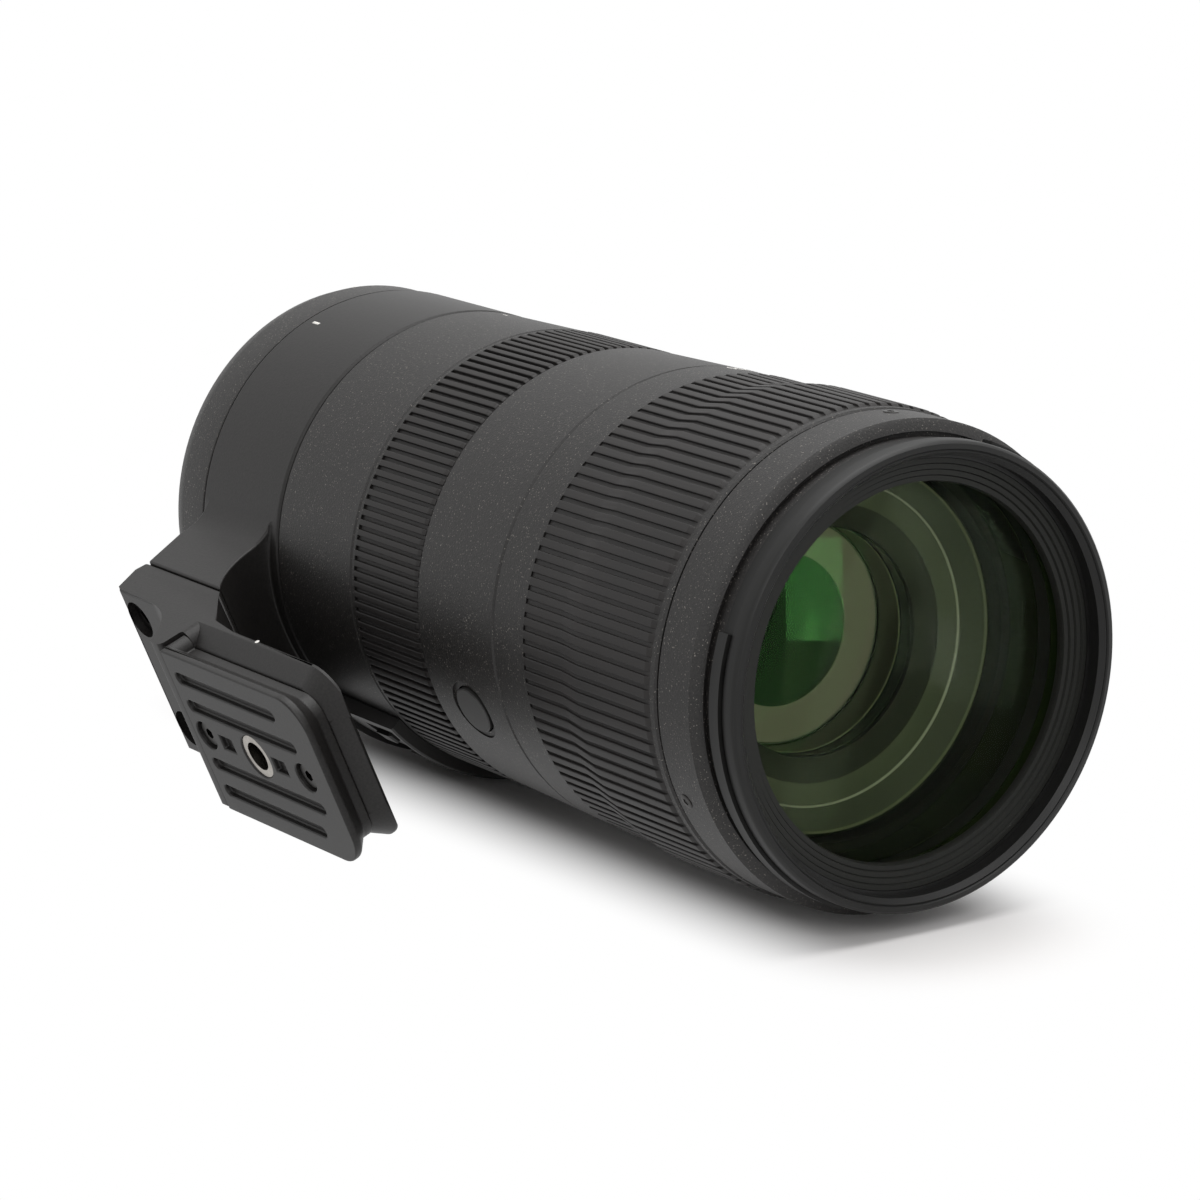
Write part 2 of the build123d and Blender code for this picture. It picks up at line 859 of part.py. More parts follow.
# Aperture unit: eight layered blades pivot in the housing and swing in as the ring turns
blade_count = 8
blade_thickness = 0.2
blade_layer = 0.45
blade_arc = 95
blade_tail_arc = 3
pivot_inset = 2.5
blade_inset = 1.7
pivot_pin_radius = 0.7
ear_radius = 2.2
aperture_wall = 2.2
aperture_plate = 1.5
aperture_ring_thickness = 1.2
aperture_chamber = 13.4
aperture_inset = 11.0
plate_back = focus_cam_back - aperture_inset
plate_front = plate_back + aperture_plate
blade_start = plate_front + turning_gap
aperture_ring_back = blade_start + blade_count * blade_layer
aperture_ring_front = aperture_ring_back + aperture_ring_thickness
aperture_inner_wall = seated_radius - aperture_wall
aperture_bore = aperture_inner_wall - aperture_chamber
pivot_radius = aperture_inner_wall - pivot_inset
blade_inner = aperture_bore + turning_gap
blade_width = pivot_radius - blade_inset - blade_inner
blade_clocks = [index * 360 / blade_count for index in range(blade_count)]

with BuildPart() as aperture_housing:
    band(aperture_inner_wall, seated_radius, plate_back, aperture_ring_front + turning_gap)
    band(aperture_bore, seated_radius, plate_back, plate_front)
    with BuildSketch(crossing(plate_back)) as pivots:
        with PolarLocations(pivot_radius, blade_count):
            Circle(pivot_pin_radius + pivot_gap)
    extrude(pivots.sketch, amount=aperture_plate, mode=Mode.SUBTRACT)
keep(aperture_housing, "aperture_housing")

with BuildPart() as aperture_ring:
    band(
        aperture_bore,
        aperture_inner_wall - turning_gap,
        aperture_ring_back,
        aperture_ring_front,
    )
keep(aperture_ring, "aperture_ring")

for index, clock in enumerate(blade_clocks):
    layer = blade_start + index * blade_layer
    with BuildPart() as aperture_blade:
        band(
            blade_inner,
            blade_inner + blade_width,
            layer,
            layer + blade_thickness,
            clock - blade_tail_arc,
            blade_arc,
        )
        with BuildSketch(crossing(layer, clock)) as ear:
            with Locations((pivot_radius, 0)):
                Circle(ear_radius)
        extrude(ear.sketch, amount=blade_thickness)
        with BuildSketch(crossing(plate_back, clock)) as pin:
            with Locations((pivot_radius, 0)):
                Circle(pivot_pin_radius)
        extrude(pin.sketch, amount=layer - plate_back + blade_thickness)
    keep(aperture_blade, f"aperture_blade_{index + 1}")

# Stabiliser: a frame that shifts sideways carries a lens cell that shifts up and down
stabiliser_gap = 2.0
stabiliser_plate = 2.0
stabiliser_width = 12.6
frame_inset = 5.6
frame_width = 10.5
frame_thickness = 1.5
shift_cell_inset = 3.0
shift_cell_width = 10.5
shift_cell_plate = 1.4
shift_cell_length = 7.0
shift_glass_thickness = 4.5
shift_curve = 90
stabiliser_bore = seated_radius - stabiliser_width
frame_radius = seated_radius - frame_inset
frame_bore = frame_radius - frame_width
shift_cell_radius = frame_radius - shift_cell_inset
shift_glass_radius = shift_cell_radius - shift_cell_width
stabiliser_front = plate_back - stabiliser_gap
base_back = stabiliser_front - shift_cell_length - frame_thickness - stabiliser_plate - 2 * turning_gap
frame_back = base_back + stabiliser_plate + turning_gap
shift_cell_back = frame_back + frame_thickness + turning_gap

with BuildPart() as stabiliser_base:
    band(stabiliser_bore, seated_radius, base_back, base_back + stabiliser_plate)
keep(stabiliser_base, "stabiliser_base")

with BuildPart() as stabiliser_frame:
    band(frame_bore, frame_radius, frame_back, frame_back + frame_thickness)
keep(stabiliser_frame, "stabiliser_frame")

with BuildPart() as stabiliser_cell:
    shift_bore = shift_glass_radius + seat_gap
    band(shift_bore, shift_cell_radius, shift_cell_back, shift_cell_back + shift_cell_plate)
    band(
        shift_bore,
        shift_bore + sleeve_wall,
        shift_cell_back,
        shift_cell_back + shift_cell_length,
    )
keep(stabiliser_cell, "stabiliser_cell")

with BuildPart() as stabiliser_element:
    shift_glass_back = shift_cell_back + shift_cell_plate
    grind(
        shift_glass_radius,
        shift_glass_back + shift_glass_thickness,
        shift_curve,
        shift_glass_back,
        shift_curve,
    )
keep(stabiliser_element, "stabiliser_element")

# Rear group: one cell with three fixed elements
rear_cell_length = 17.0
rear_glass_count = 3
rear_group_gap = 3.0
rear_glass_depth = 18.1
rear_glass_thickness = 4.2
rear_glass_spacing = 1.4
rear_curve = 85
rear_glass_radius = seated_radius - rear_glass_depth
rear_cell_middle = base_back - rear_group_gap - rear_cell_length / 2
rear_glass_back = rear_cell_middle - rear_cell_length / 2 + rear_glass_spacing

with BuildPart() as rear_cell:
    spool(seated_radius, rear_glass_radius + seat_gap, rear_cell_middle, rear_cell_length)
keep(rear_cell, "rear_cell")

with BuildPart() as rear_elements:
    for index in range(rear_glass_count):
        glass_back = rear_glass_back + index * (rear_glass_thickness + rear_glass_spacing)
        grind(
            rear_glass_radius,
            glass_back + rear_glass_thickness,
            rear_curve,
            glass_back,
            2 * rear_curve,
        )
keep(rear_elements, "rear_elements")

# Tripod collar: it turns on the fixed tube and carries the neck of the foot and the
# boss of the locking knob
collar_wall = 2.5
foot_clock = 113.6
neck_height = 12.7
neck_depth = 27.1
neck_half_width = 20.0
neck_fillet = 9.0
neck_root_back = 20.3
neck_root_drop = 10.8
neck_seam_back = 23.7
neck_seam_front = 52.4
neck_waist_front = 46.6
neck_waist_drop = 7.1
neck_root_front = 45.3
neck_front_drop = 17.6
collar_radius = ring_bore + collar_wall
neck_top = collar_radius + neck_height
neck_bottom = neck_top - neck_depth
neck_root_height = neck_top - neck_root_drop
neck_waist_height = neck_top - neck_waist_drop
neck_root_front_height = neck_top - neck_front_drop
bolt_across = 13.3
bolt_ahead = 30.8
bolt_shank_radius = 2.5
bolt_thread_depth = 9.5
bolt_tip_gap = 0.5
knob_clock = 241.6
knob_boss_radius = 7.5
knob_boss_height = 4.1
knob_radius = 9.0
knob_height = 11.0
knob_stem_radius = 3.0
knob_groove_count = 18
knob_groove_radius = 0.9
collar_middle = (collar_back + collar_front) / 2
boss_top = collar_radius + knob_boss_height
bolt_places = [(-bolt_ahead, bolt_across), (-bolt_ahead, -bolt_across)]

with BuildPart() as neck:
    with BuildSketch(crossing(neck_root_back, foot_clock)) as neck_section:
        Circle(collar_radius - seat_gap)
        with Locations((neck_top / 2, 0)):
            Rectangle(neck_top, 2 * neck_half_width)
        neck_corners = neck_section.vertices().filter_by(lambda corner: corner.X < neck_top - edge)
        fillet(neck_corners, radius=neck_fillet)
    extrude(neck_section.sketch, amount=neck_seam_front - neck_root_back)
    with BuildSketch(meridian(foot_clock)) as neck_side:
        with BuildLine():
            Polyline(
                (neck_root_front_height, -neck_root_front),
                (neck_bottom, -neck_root_front),
                (neck_bottom, -neck_root_back),
                (neck_root_height, -neck_root_back),
                (neck_top, -neck_seam_back),
                (neck_top, -neck_seam_front),
            )
            ThreePointArc(
                (neck_top, -neck_seam_front),
                (neck_waist_height, -neck_waist_front),
                (neck_root_front_height, -neck_root_front),
            )
        make_face()
    extrude(neck_side.sketch, amount=2 * neck_half_width, both=True, mode=Mode.INTERSECT)
    with BuildSketch(crossing(tube_back)) as bore:
        Circle(ring_bore + collar_wall / 2)
    extrude(bore.sketch, amount=neck_seam_front, mode=Mode.SUBTRACT)

with BuildPart() as tripod_collar:
    turn(
        [
            (ring_bore, collar_back),
            (collar_radius - edge, collar_back),
            (collar_radius, collar_back + edge),
            (collar_radius, collar_front - edge),
            (collar_radius - edge, collar_front),
            (ring_bore, collar_front),
        ]
    )
    add(neck.part)
    with BuildSketch(facing(knob_clock, collar_middle, ring_bore + seat_gap)) as boss:
        Circle(knob_boss_radius)
    extrude(boss.sketch, amount=boss_top - ring_bore - seat_gap)
    with BuildSketch(facing(knob_clock, collar_middle, tube_radius)) as stem_hole:
        Circle(knob_stem_radius + pivot_gap)
    extrude(stem_hole.sketch, amount=boss_top - tube_radius, mode=Mode.SUBTRACT)
    with BuildSketch(facing(foot_clock, 0, neck_top - bolt_thread_depth - bolt_tip_gap)) as holes:
        with Locations(bolt_places):
            Circle(bolt_shank_radius + seat_gap)
    extrude(holes.sketch, amount=bolt_thread_depth + bolt_tip_gap, mode=Mode.SUBTRACT)
keep(tripod_collar, "tripod_collar")

with BuildPart() as lock_knob:
    knob_back = boss_top + turning_gap
    with BuildSketch(facing(knob_clock, collar_middle, knob_back)) as grip:
        Circle(knob_radius)
        with PolarLocations(knob_radius, knob_groove_count):
            Circle(knob_groove_radius, mode=Mode.SUBTRACT)
    extrude(grip.sketch, amount=knob_height)
    chamfer(lock_knob.faces().sort_by(SortBy.DISTANCE)[-1].edges(), edge)
    with BuildSketch(facing(knob_clock, collar_middle, tube_radius + turning_gap)) as stem:
        Circle(knob_stem_radius)
    extrude(stem.sketch, amount=knob_back - tube_radius - turning_gap)
keep(lock_knob, "lock_knob")

# Foot: an arm under the barrel, bolted to the neck, with a seat for the dovetail pad
foot_half_width = 19.5
foot_toe_round = 9.5
foot_back = 22.4
foot_front = 110.3
foot_flare_rise = 9.6
foot_flare_width = 2.9
heel_front = 58.1
pad_seat_rise = 13.5
heel_rise = 18.9
bolt_face_rise = 9.6
counterbore_rise = 2.9
insert_rise = 10.9
foot_arch = [
    (0, neck_seam_back - edge),
    (0, neck_seam_front),
    (1.9, 54.3),
    (7.4, 62.3),
    (8.5, 70.3),
    (9.1, 108.3),
    (10.4, foot_front),
    (pad_seat_rise, foot_front),
]
heel_outline = [
    (pad_seat_rise, heel_front),
    (18.1, 57.9),
    (heel_rise, 57.0),
    (heel_rise, 54.0),
]
heel_hollow = [(heel_rise, 54.0), (12.1, 48.0), (bolt_face_rise, 40.3)]
foot_heel = [(bolt_face_rise, 40.3), (bolt_face_rise, 26.6), (8.4, 24.7), (3.4, foot_back)]
counterbore_radius = 4.15
insert_ahead = 82.8
insert_radius = 4.75
insert_length = 8.6
tripod_thread_radius = 3.175
pad_seat = neck_top + pad_seat_rise
foot_flare_height = pad_seat_rise - foot_flare_rise
foot_flare_angle = degrees(atan2(foot_flare_width, foot_flare_height))
heel_top = neck_top + heel_rise
counterbore_floor = neck_top + counterbore_rise
insert_bottom = neck_top + insert_rise
insert_face = insert_bottom + insert_length


def along(outline):
    """Turns (height above the neck, ahead) points into points of a meridian plane."""
    return [(neck_top + rise, -ahead) for rise, ahead in outline]


def plan(back, front, half_width, toe_round, height, depth, taper=0):
    """A plate with its two front corners rounded, drawn at a height above the axis."""
    with BuildSketch(facing(foot_clock, 0, height)) as outline:
        with Locations((-(back + front) / 2, 0)):
            Rectangle(front - back, 2 * half_width)
        fillet(outline.vertices().group_by(Axis.X)[0], radius=toe_round)
    extrude(outline.sketch, amount=depth, taper=taper)


def drill(places, radius, bottom, top):
    """Round holes square to the foot at (towards the camera, across) places."""
    with BuildSketch(facing(foot_clock, 0, bottom)) as holes:
        with Locations(places):
            Circle(radius)
    extrude(holes.sketch, amount=top - bottom, mode=Mode.SUBTRACT)


with BuildPart() as foot_envelope:
    flare_bottom = neck_top + foot_flare_rise
    arm = (foot_back, foot_front, foot_half_width, foot_toe_round)
    heel = (foot_back, heel_front + foot_flare_width, foot_half_width, foot_flare_width)
    plan(*arm, neck_top, foot_flare_rise)
    plan(*arm, flare_bottom, foot_flare_height, taper=foot_flare_angle)
    plan(*heel, neck_top, heel_rise)

with BuildPart() as foot:
    with BuildSketch(meridian(foot_clock)) as foot_side:
        with BuildLine():
            Polyline(*along(foot_arch + heel_outline))
            ThreePointArc(*along(heel_hollow))
            Polyline(*along(foot_heel + foot_arch[:1]))
        make_face()
    extrude(foot_side.sketch, amount=2 * foot_half_width, both=True)
    add(foot_envelope.part, mode=Mode.INTERSECT)
    drill(bolt_places, bolt_shank_radius + seat_gap, neck_top, counterbore_floor)
    drill(bolt_places, counterbore_radius, counterbore_floor, heel_top)
    drill([(-insert_ahead, 0)], insert_radius + seat_gap, insert_bottom - seat_gap, heel_top)
keep(foot, "foot")

bolt_head_radius = 3.9
bolt_head_height = 5.0
socket_radius = 2.3
socket_depth = 2.8
hexagon_sides = 6
with BuildPart() as foot_bolts:
    for bottom, top, radius in (
        (neck_top - bolt_thread_depth, counterbore_floor, bolt_shank_radius),
        (counterbore_floor, counterbore_floor + bolt_head_height, bolt_head_radius),
    ):
        with BuildSketch(facing(foot_clock, 0, bottom)) as bolt:
            with Locations(bolt_places):
                Circle(radius)
        extrude(bolt.sketch, amount=top - bottom)
    socket_floor = counterbore_floor + bolt_head_height - socket_depth
    with BuildSketch(facing(foot_clock, 0, socket_floor)) as socket:
        with Locations(bolt_places):
            RegularPolygon(socket_radius, hexagon_sides)
    extrude(socket.sketch, amount=socket_depth, mode=Mode.SUBTRACT)
keep(foot_bolts, "foot_bolts")

# Dovetail pad: the long plate under the foot, 38 mm wide with 45 degree flanks
pad_back = 58.8
pad_front = 110.0
pad_half_width = 19.0
pad_toe_round = 7.5
pad_flank_width = 2.6
pad_neck_height = 2.2
pad_flank_height = 2.6
pad_edge_height = 1.5
pad_flank_angle = degrees(atan2(pad_flank_width, pad_flank_height))
pad_neck_half_width = pad_half_width - pad_flank_width
pad_neck_front = pad_front - pad_flank_width
pad_neck_round = pad_toe_round - pad_flank_width
pad_block_front = pad_back + pad_flank_width
pad_neck_top = pad_seat + pad_neck_height
pad_edge_bottom = pad_neck_top + pad_flank_height
pad_face = pad_edge_bottom + pad_edge_height
slot_depth_down = 1.2
pad_slot_width = 2.6
pad_slot_back = 61.3
pad_slots = [(-13.3, 98.3), (-6.8, 101.8), (7.0, 103.3), (13.5, 99.3)]
pocket_length = 4.6
pocket_width = 3.2
pocket_places = [(-71.7, 0), (-91.6, 0)]
pad_screw_radius = 3.2
pad_screw_depth = 1.8
pad_screw_places = [(-63.6, 0), (-101.0, 0)]

with BuildPart() as dovetail_pad:
    lip = (pad_back, pad_front, pad_half_width, pad_toe_round, pad_edge_bottom)
    plan(*lip, pad_edge_height)
    plan(*lip, -pad_flank_height, taper=pad_flank_angle)
    plan(pad_back, pad_neck_front, pad_neck_half_width, pad_neck_round, pad_seat, pad_neck_height)
    pad_block_height = pad_edge_bottom - pad_seat
    plan(pad_back, pad_block_front, pad_half_width, pad_flank_width, pad_seat, pad_block_height)
    for across, slot_front in pad_slots:
        with BuildSketch(facing(foot_clock, 0, pad_face - slot_depth_down)) as groove:
            with Locations((-(pad_slot_back + slot_front) / 2, across)):
                SlotOverall(slot_front - pad_slot_back, pad_slot_width)
        extrude(groove.sketch, amount=slot_depth_down, mode=Mode.SUBTRACT)
    with BuildSketch(facing(foot_clock, 0, pad_face - slot_depth_down)) as pockets:
        with Locations(pocket_places):
            Rectangle(pocket_length, pocket_width)
    extrude(pockets.sketch, amount=slot_depth_down, mode=Mode.SUBTRACT)
    drill(pad_screw_places, pad_screw_radius, pad_face - pad_screw_depth, pad_face)
    drill([(-insert_ahead, 0)], insert_radius + seat_gap, pad_seat, pad_face)
keep(dovetail_pad, "dovetail_pad")

with BuildPart() as tripod_insert:
    with BuildSketch(facing(foot_clock, insert_ahead, insert_bottom)) as bush:
        Circle(insert_radius)
        Circle(tripod_thread_radius, mode=Mode.SUBTRACT)
    extrude(bush.sketch, amount=insert_face - insert_bottom)
keep(tripod_insert, "tripod_insert")

# Rear cover and camera mount
cover_floor = 1.7
cover_step_width = 3.0
cover_wall = 2.4
cover_shoulder_drop = 0.9
cover_shoulder = 6.3
cover_end_drop = 5.0
flange_radius = 33.0
mount_bore = 24.0
mount_barrel_radius = 25.4
mount_lug_radius = 26.9
mount_lug_arc = 54
mount_lug_clock = 86
mount_lug_length = 1.6
mount_reach = 5.4
register_length = 3.2
register_radius = 27.0
cover_hole_radius = register_radius + seat_gap
cover_radius = tube_radius + cover_wall
cover_shoulder_radius = cover_radius - cover_shoulder_drop
cover_end_radius = cover_radius - cover_end_drop
cover_step_radius = cover_end_radius - cover_step_width

with BuildPart() as rear_cover:
    turn(
        [
            (cover_hole_radius, rear_cover_back),
            (cover_end_radius, rear_cover_back),
            (cover_shoulder_radius, cover_shoulder),
            (cover_radius, cover_shoulder + register_length),
            (cover_radius, rear_cover_front - edge),
            (cover_radius - edge, rear_cover_front),
            (cover_bore, rear_cover_front),
            (cover_bore, tube_back),
            (cover_step_radius, tube_back),
            (cover_step_radius, rear_cover_back + cover_floor),
            (cover_hole_radius, rear_cover_back + cover_floor),
        ]
    )
keep(rear_cover, "rear_cover")

with BuildPart() as mount_flange:
    band(mount_bore, flange_radius, 0, flange_thickness)
    band(mount_bore, mount_barrel_radius, -mount_reach, flange_thickness)
    band(mount_bore, register_radius, flange_thickness, flange_thickness + register_length)
    for index in range(lug_count):
        band(
            mount_bore,
            mount_lug_radius,
            -mount_reach,
            mount_lug_length - mount_reach,
            mount_lug_clock + index * 360 / lug_count,
            mount_lug_arc,
        )
keep(mount_flange, "mount_flange")

seal_width = 1.3
seal_proud = 0.5
with BuildPart() as mount_seal:
    band(
        flange_radius + seat_gap,
        flange_radius + seat_gap + seal_width,
        -seal_proud,
        rear_cover_back,
    )
keep(mount_seal, "mount_seal")

baffle_lip = 5.5
baffle_wall = 1.5
baffle_flange_length = 1.4
baffle_back = 2.0
baffle_bore = mount_bore - baffle_lip
with BuildPart() as rear_baffle:
    band(baffle_bore, mount_bore - seat_gap, baffle_back, baffle_back + baffle_flange_length)
    band(baffle_bore, baffle_bore + baffle_wall, baffle_back, guide_back - seat_gap)
    band(
        baffle_bore,
        tube_bore - seat_gap,
        guide_back - seat_gap - baffle_flange_length,
        guide_back - seat_gap,
    )
keep(rear_baffle, "rear_baffle")

# Electronics: the main board behind the baffle and the contacts of the mount
board_gap = 0.5
board_back = 9.5
board_thickness = 1.2
board_clock = 40
board_arc = 290
chip_height = 1.4
chip_shares = [0.12, 0.3, 0.5, 0.68, 0.86]
chip_sides = [7.0, 9.0, 5.0, 8.0, 6.0]
board_bore = register_radius + board_gap
chip_radius = (board_bore + tube_bore) / 2
with BuildPart() as circuit_board:
    band(
        board_bore,
        tube_bore - seat_gap,
        board_back,
        board_back + board_thickness,
        board_clock,
        board_arc,
    )
    for share, side in zip(chip_shares, chip_sides):
        chip_plane = crossing(board_back + board_thickness, board_clock + share * board_arc)
        with BuildSketch(chip_plane) as chip:
            with Locations((chip_radius, 0)):
                Rectangle(side, side)
        extrude(chip.sketch, amount=chip_height)
keep(circuit_board, "circuit_board")

contact_clock = foot_clock
contact_arc = 66
contact_inner = 19.6
contact_reach = 4.9
pin_count = 8
pin_radius = 0.9
pin_pitch = 7.4
pin_proud = 0.4
pin_depth = 2.0
pin_circle = (contact_inner + mount_bore) / 2
pin_clocks = [
    contact_clock + (index - (pin_count - 1) / 2) * pin_pitch for index in range(pin_count)
]


def contacts(back, front, radius, mode=Mode.ADD):
    """A row of round contacts along the arc of the block."""
    for clock in pin_clocks:
        with BuildSketch(crossing(back, clock)) as contact:
            with Locations((pin_circle, 0)):
                Circle(radius)
        extrude(contact.sketch, amount=front - back, mode=mode)


with BuildPart() as contact_block:
    band(
        contact_inner,
        mount_bore - seat_gap,
        -contact_reach,
        flange_thickness,
        contact_clock - contact_arc / 2,
        contact_arc,
    )
    contacts(-contact_reach, pin_depth - contact_reach, pin_radius + pivot_gap, Mode.SUBTRACT)
keep(contact_block, "contact_block")

with BuildPart() as contact_pins:
    contacts(-contact_reach - pin_proud, pin_depth - contact_reach, pin_radius)
keep(contact_pins, "contact_pins")
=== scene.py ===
# %% [markdown]
# # A camera zoom lens on a white table
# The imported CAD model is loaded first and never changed. Everything that follows dresses
# it: finishes for each solid, finer shapes where a photograph would show more than the
# solid does, then the table, the light and the camera.

# %% Load the fixed frame
import json
import math

import bmesh
import bpy
from mathutils import Matrix, Vector
from mathutils.bvhtree import BVHTree


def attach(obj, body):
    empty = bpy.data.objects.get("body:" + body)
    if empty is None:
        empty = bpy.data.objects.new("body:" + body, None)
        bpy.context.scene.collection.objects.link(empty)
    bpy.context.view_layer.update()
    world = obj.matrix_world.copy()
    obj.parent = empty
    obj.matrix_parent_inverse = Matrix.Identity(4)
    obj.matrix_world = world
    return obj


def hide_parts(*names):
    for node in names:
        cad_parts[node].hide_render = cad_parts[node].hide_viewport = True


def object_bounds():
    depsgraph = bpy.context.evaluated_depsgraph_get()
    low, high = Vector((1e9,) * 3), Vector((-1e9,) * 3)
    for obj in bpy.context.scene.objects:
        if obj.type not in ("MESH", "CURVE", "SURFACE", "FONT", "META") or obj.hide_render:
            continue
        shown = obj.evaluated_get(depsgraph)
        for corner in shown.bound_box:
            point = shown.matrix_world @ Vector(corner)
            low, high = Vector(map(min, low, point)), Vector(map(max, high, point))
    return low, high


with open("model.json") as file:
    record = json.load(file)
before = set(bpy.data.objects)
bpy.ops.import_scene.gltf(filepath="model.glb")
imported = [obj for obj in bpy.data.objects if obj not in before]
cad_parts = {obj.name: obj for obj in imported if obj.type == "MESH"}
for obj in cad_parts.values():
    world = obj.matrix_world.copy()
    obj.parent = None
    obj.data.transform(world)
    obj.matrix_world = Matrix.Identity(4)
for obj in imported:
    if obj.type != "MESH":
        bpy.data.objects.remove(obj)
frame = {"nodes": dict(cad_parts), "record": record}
nodes = frame["nodes"]
cad_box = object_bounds()
MM = 0.001

# %% [markdown]
# The optical axis lies along Y with the front glass towards -Y. A place on a barrel is
# easiest to give as a clock angle from the top, growing towards -X, a radius and a
# distance ahead of the camera flange, all in millimetres.

# %% Places on the barrel
AHEAD = Vector((0, -1, 0))


def outward(clock):
    """Unit vector away from the optical axis at a clock angle."""
    angle = math.radians(clock)
    return Vector((-math.sin(angle), 0, math.cos(angle)))


def place(clock, radius, ahead):
    """Point at a clock angle, a radius and a distance ahead, from millimetres to metres."""
    return (outward(clock) * radius + AHEAD * ahead) * MM


def stand(clock, radius, ahead):
    """Frame whose z points outwards and whose x points to the front, to set a piece down."""
    up = outward(clock)
    basis = Matrix((AHEAD, up.cross(AHEAD), up)).transposed().to_4x4()
    return Matrix.Translation(place(clock, radius, ahead)) @ basis


print("top of the zoom grip", [round(v, 4) for v in place(0, 47.1, 160)])

# %% [markdown]
# Colours are written as sRGB hex values, as a paint chart gives them. Shaders work in
# linear light, so one function converts them. The others add a node with its settings and
# links, a noise of a real size, and the colour, roughness or bump that follows it.

# %% Colour and node helpers
def linear(code):
    """sRGB hex to a linear colour with full alpha."""
    parts = [int(code[i : i + 2], 16) / 255 for i in (1, 3, 5)]
    return [c / 12.92 if c <= 0.04045 else ((c + 0.055) / 1.055) ** 2.4 for c in parts] + [1.0]


def add_node(tree, kind, settings=None, inputs=None):
    """Adds a node. An input is a value, or a (node, output name) pair to link from."""
    node = tree.nodes.new(kind)
    for key, value in (settings or {}).items():
        setattr(node, key, value)
    for key, value in (inputs or {}).items():
        if isinstance(value, tuple) and isinstance(value[0], bpy.types.Node):
            tree.links.new(value[0].outputs[value[1]], node.inputs[key])
        else:
            node.inputs[key].default_value = value
    return node


def new_material(name, shader):
    """Material with one Principled shader that has these constant inputs."""
    material = bpy.data.materials.new(name)
    material.use_nodes = True
    tree = material.node_tree
    surface = tree.nodes["Principled BSDF"]
    for key, value in shader.items():
        surface.inputs[key].default_value = value
    return material, tree, surface


def grain(tree, size_mm, detail):
    """Noise on Object coordinates whose lumps have this real size."""
    where = add_node(tree, "ShaderNodeTexCoord")
    return add_node(
        tree,
        "ShaderNodeTexNoise",
        inputs={"Vector": (where, "Object"), "Scale": 1 / (size_mm * MM), "Detail": detail},
    )


def ramp(tree, source, stops):
    """Colour ramp over a (node, output) value; stops are (position, hex) pairs."""
    node = add_node(tree, "ShaderNodeValToRGB", inputs={"Fac": source})
    elements = node.color_ramp.elements
    while len(elements) < len(stops):
        elements.new(0.5)
    for element, (position, code) in zip(elements, stops):
        element.position = position
        element.color = linear(code)
    return node


def vary_colour(tree, surface, source, low, high, spread=(0.3, 0.7)):
    """Base colour between two hex values, over the middle of a (node, output) value."""
    base = ramp(tree, source, [(spread[0], low), (spread[1], high)])
    tree.links.new(base.outputs["Color"], surface.inputs["Base Color"])


def vary_roughness(tree, surface, source, low, high):
    """Roughness between two values along a (node, output) value."""
    rough = add_node(
        tree, "ShaderNodeMapRange", inputs={"Value": source, "To Min": low, "To Max": high}
    )
    tree.links.new(rough.outputs["Result"], surface.inputs["Roughness"])


def raise_grain(tree, surface, source, height_mm, strength):
    """Bump on the surface from a (node, output) value, with its real height."""
    bump = add_node(
        tree,
        "ShaderNodeBump",
        inputs={"Height": source, "Distance": height_mm * MM, "Strength": strength},
    )
    tree.links.new(bump.outputs["Normal"], surface.inputs["Normal"])


def grained_material(name, shader, noise, colours, bump=None):
    """Material whose two colours and (height, strength) bump follow one (size, detail) noise."""
    material, tree, surface = new_material(name, shader)
    fine = grain(tree, *noise)
    vary_colour(tree, surface, (fine, "Fac"), *colours)
    if bump:
        raise_grain(tree, surface, (fine, "Fac"), *bump)
    return material


print("paper white", [round(v, 3) for v in linear("#FAF8F7")])


# %% [markdown]
# The barrel is light alloy with a baked, finely textured charcoal paint. Close up it
# sparkles where tiny glassy grains catch the light; those glints are painted into the colour
# as bright specks. A noise of 0.4 mm gives the bumps, and a finer one, cut hard, paints the
# specks.

# %% Textured barrel paint
barrel_paint, tree, surface = new_material(
    "textured_charcoal_paint", {"Roughness": 0.5, "IOR": 1.5, "Specular IOR Level": 0.4}
)
fine = grain(tree, 0.4, 3.0)
glint_noise = grain(tree, 0.3, 0.0)
base = ramp(tree, (fine, "Fac"), [(0.3, "#131211"), (0.7, "#232120")])
# Painted glints: bright specks in the base colour stand for grains catching the light.
painted_glint_mask = ramp(tree, (glint_noise, "Fac"), [(0.73, "#000000"), (0.80, "#FFFFFF")])
colour = add_node(
    tree,
    "ShaderNodeMix",
    {"data_type": "RGBA"},
    {"Factor": (painted_glint_mask, "Color"), "A": (base, "Color"), "B": linear("#6C6863")},
)
tree.links.new(colour.outputs["Result"], surface.inputs["Base Color"])
raise_grain(tree, surface, (fine, "Fac"), 0.09, 0.8)
print(barrel_paint.name, len(tree.nodes), "nodes")

# %% [markdown]
# The collar, foot and pad have a satin black paint over a magnesium casting. It still has
# a fine orange peel of about half a millimetre, but a weak one.

# %% Satin collar paint
collar_paint = grained_material(
    "satin_black_paint",
    {"Roughness": 0.45, "IOR": 1.5, "Specular IOR Level": 0.33},
    (0.45, 3.0),
    ("#121110", "#201E1D"),
    (0.035, 0.6),
)
print(collar_paint.name)

# %% [markdown]
# The rim and the grooved ring round the glass are smooth black anodised aluminium, which
# shows very fine turning lines. The lines come from noise squeezed along the axis.

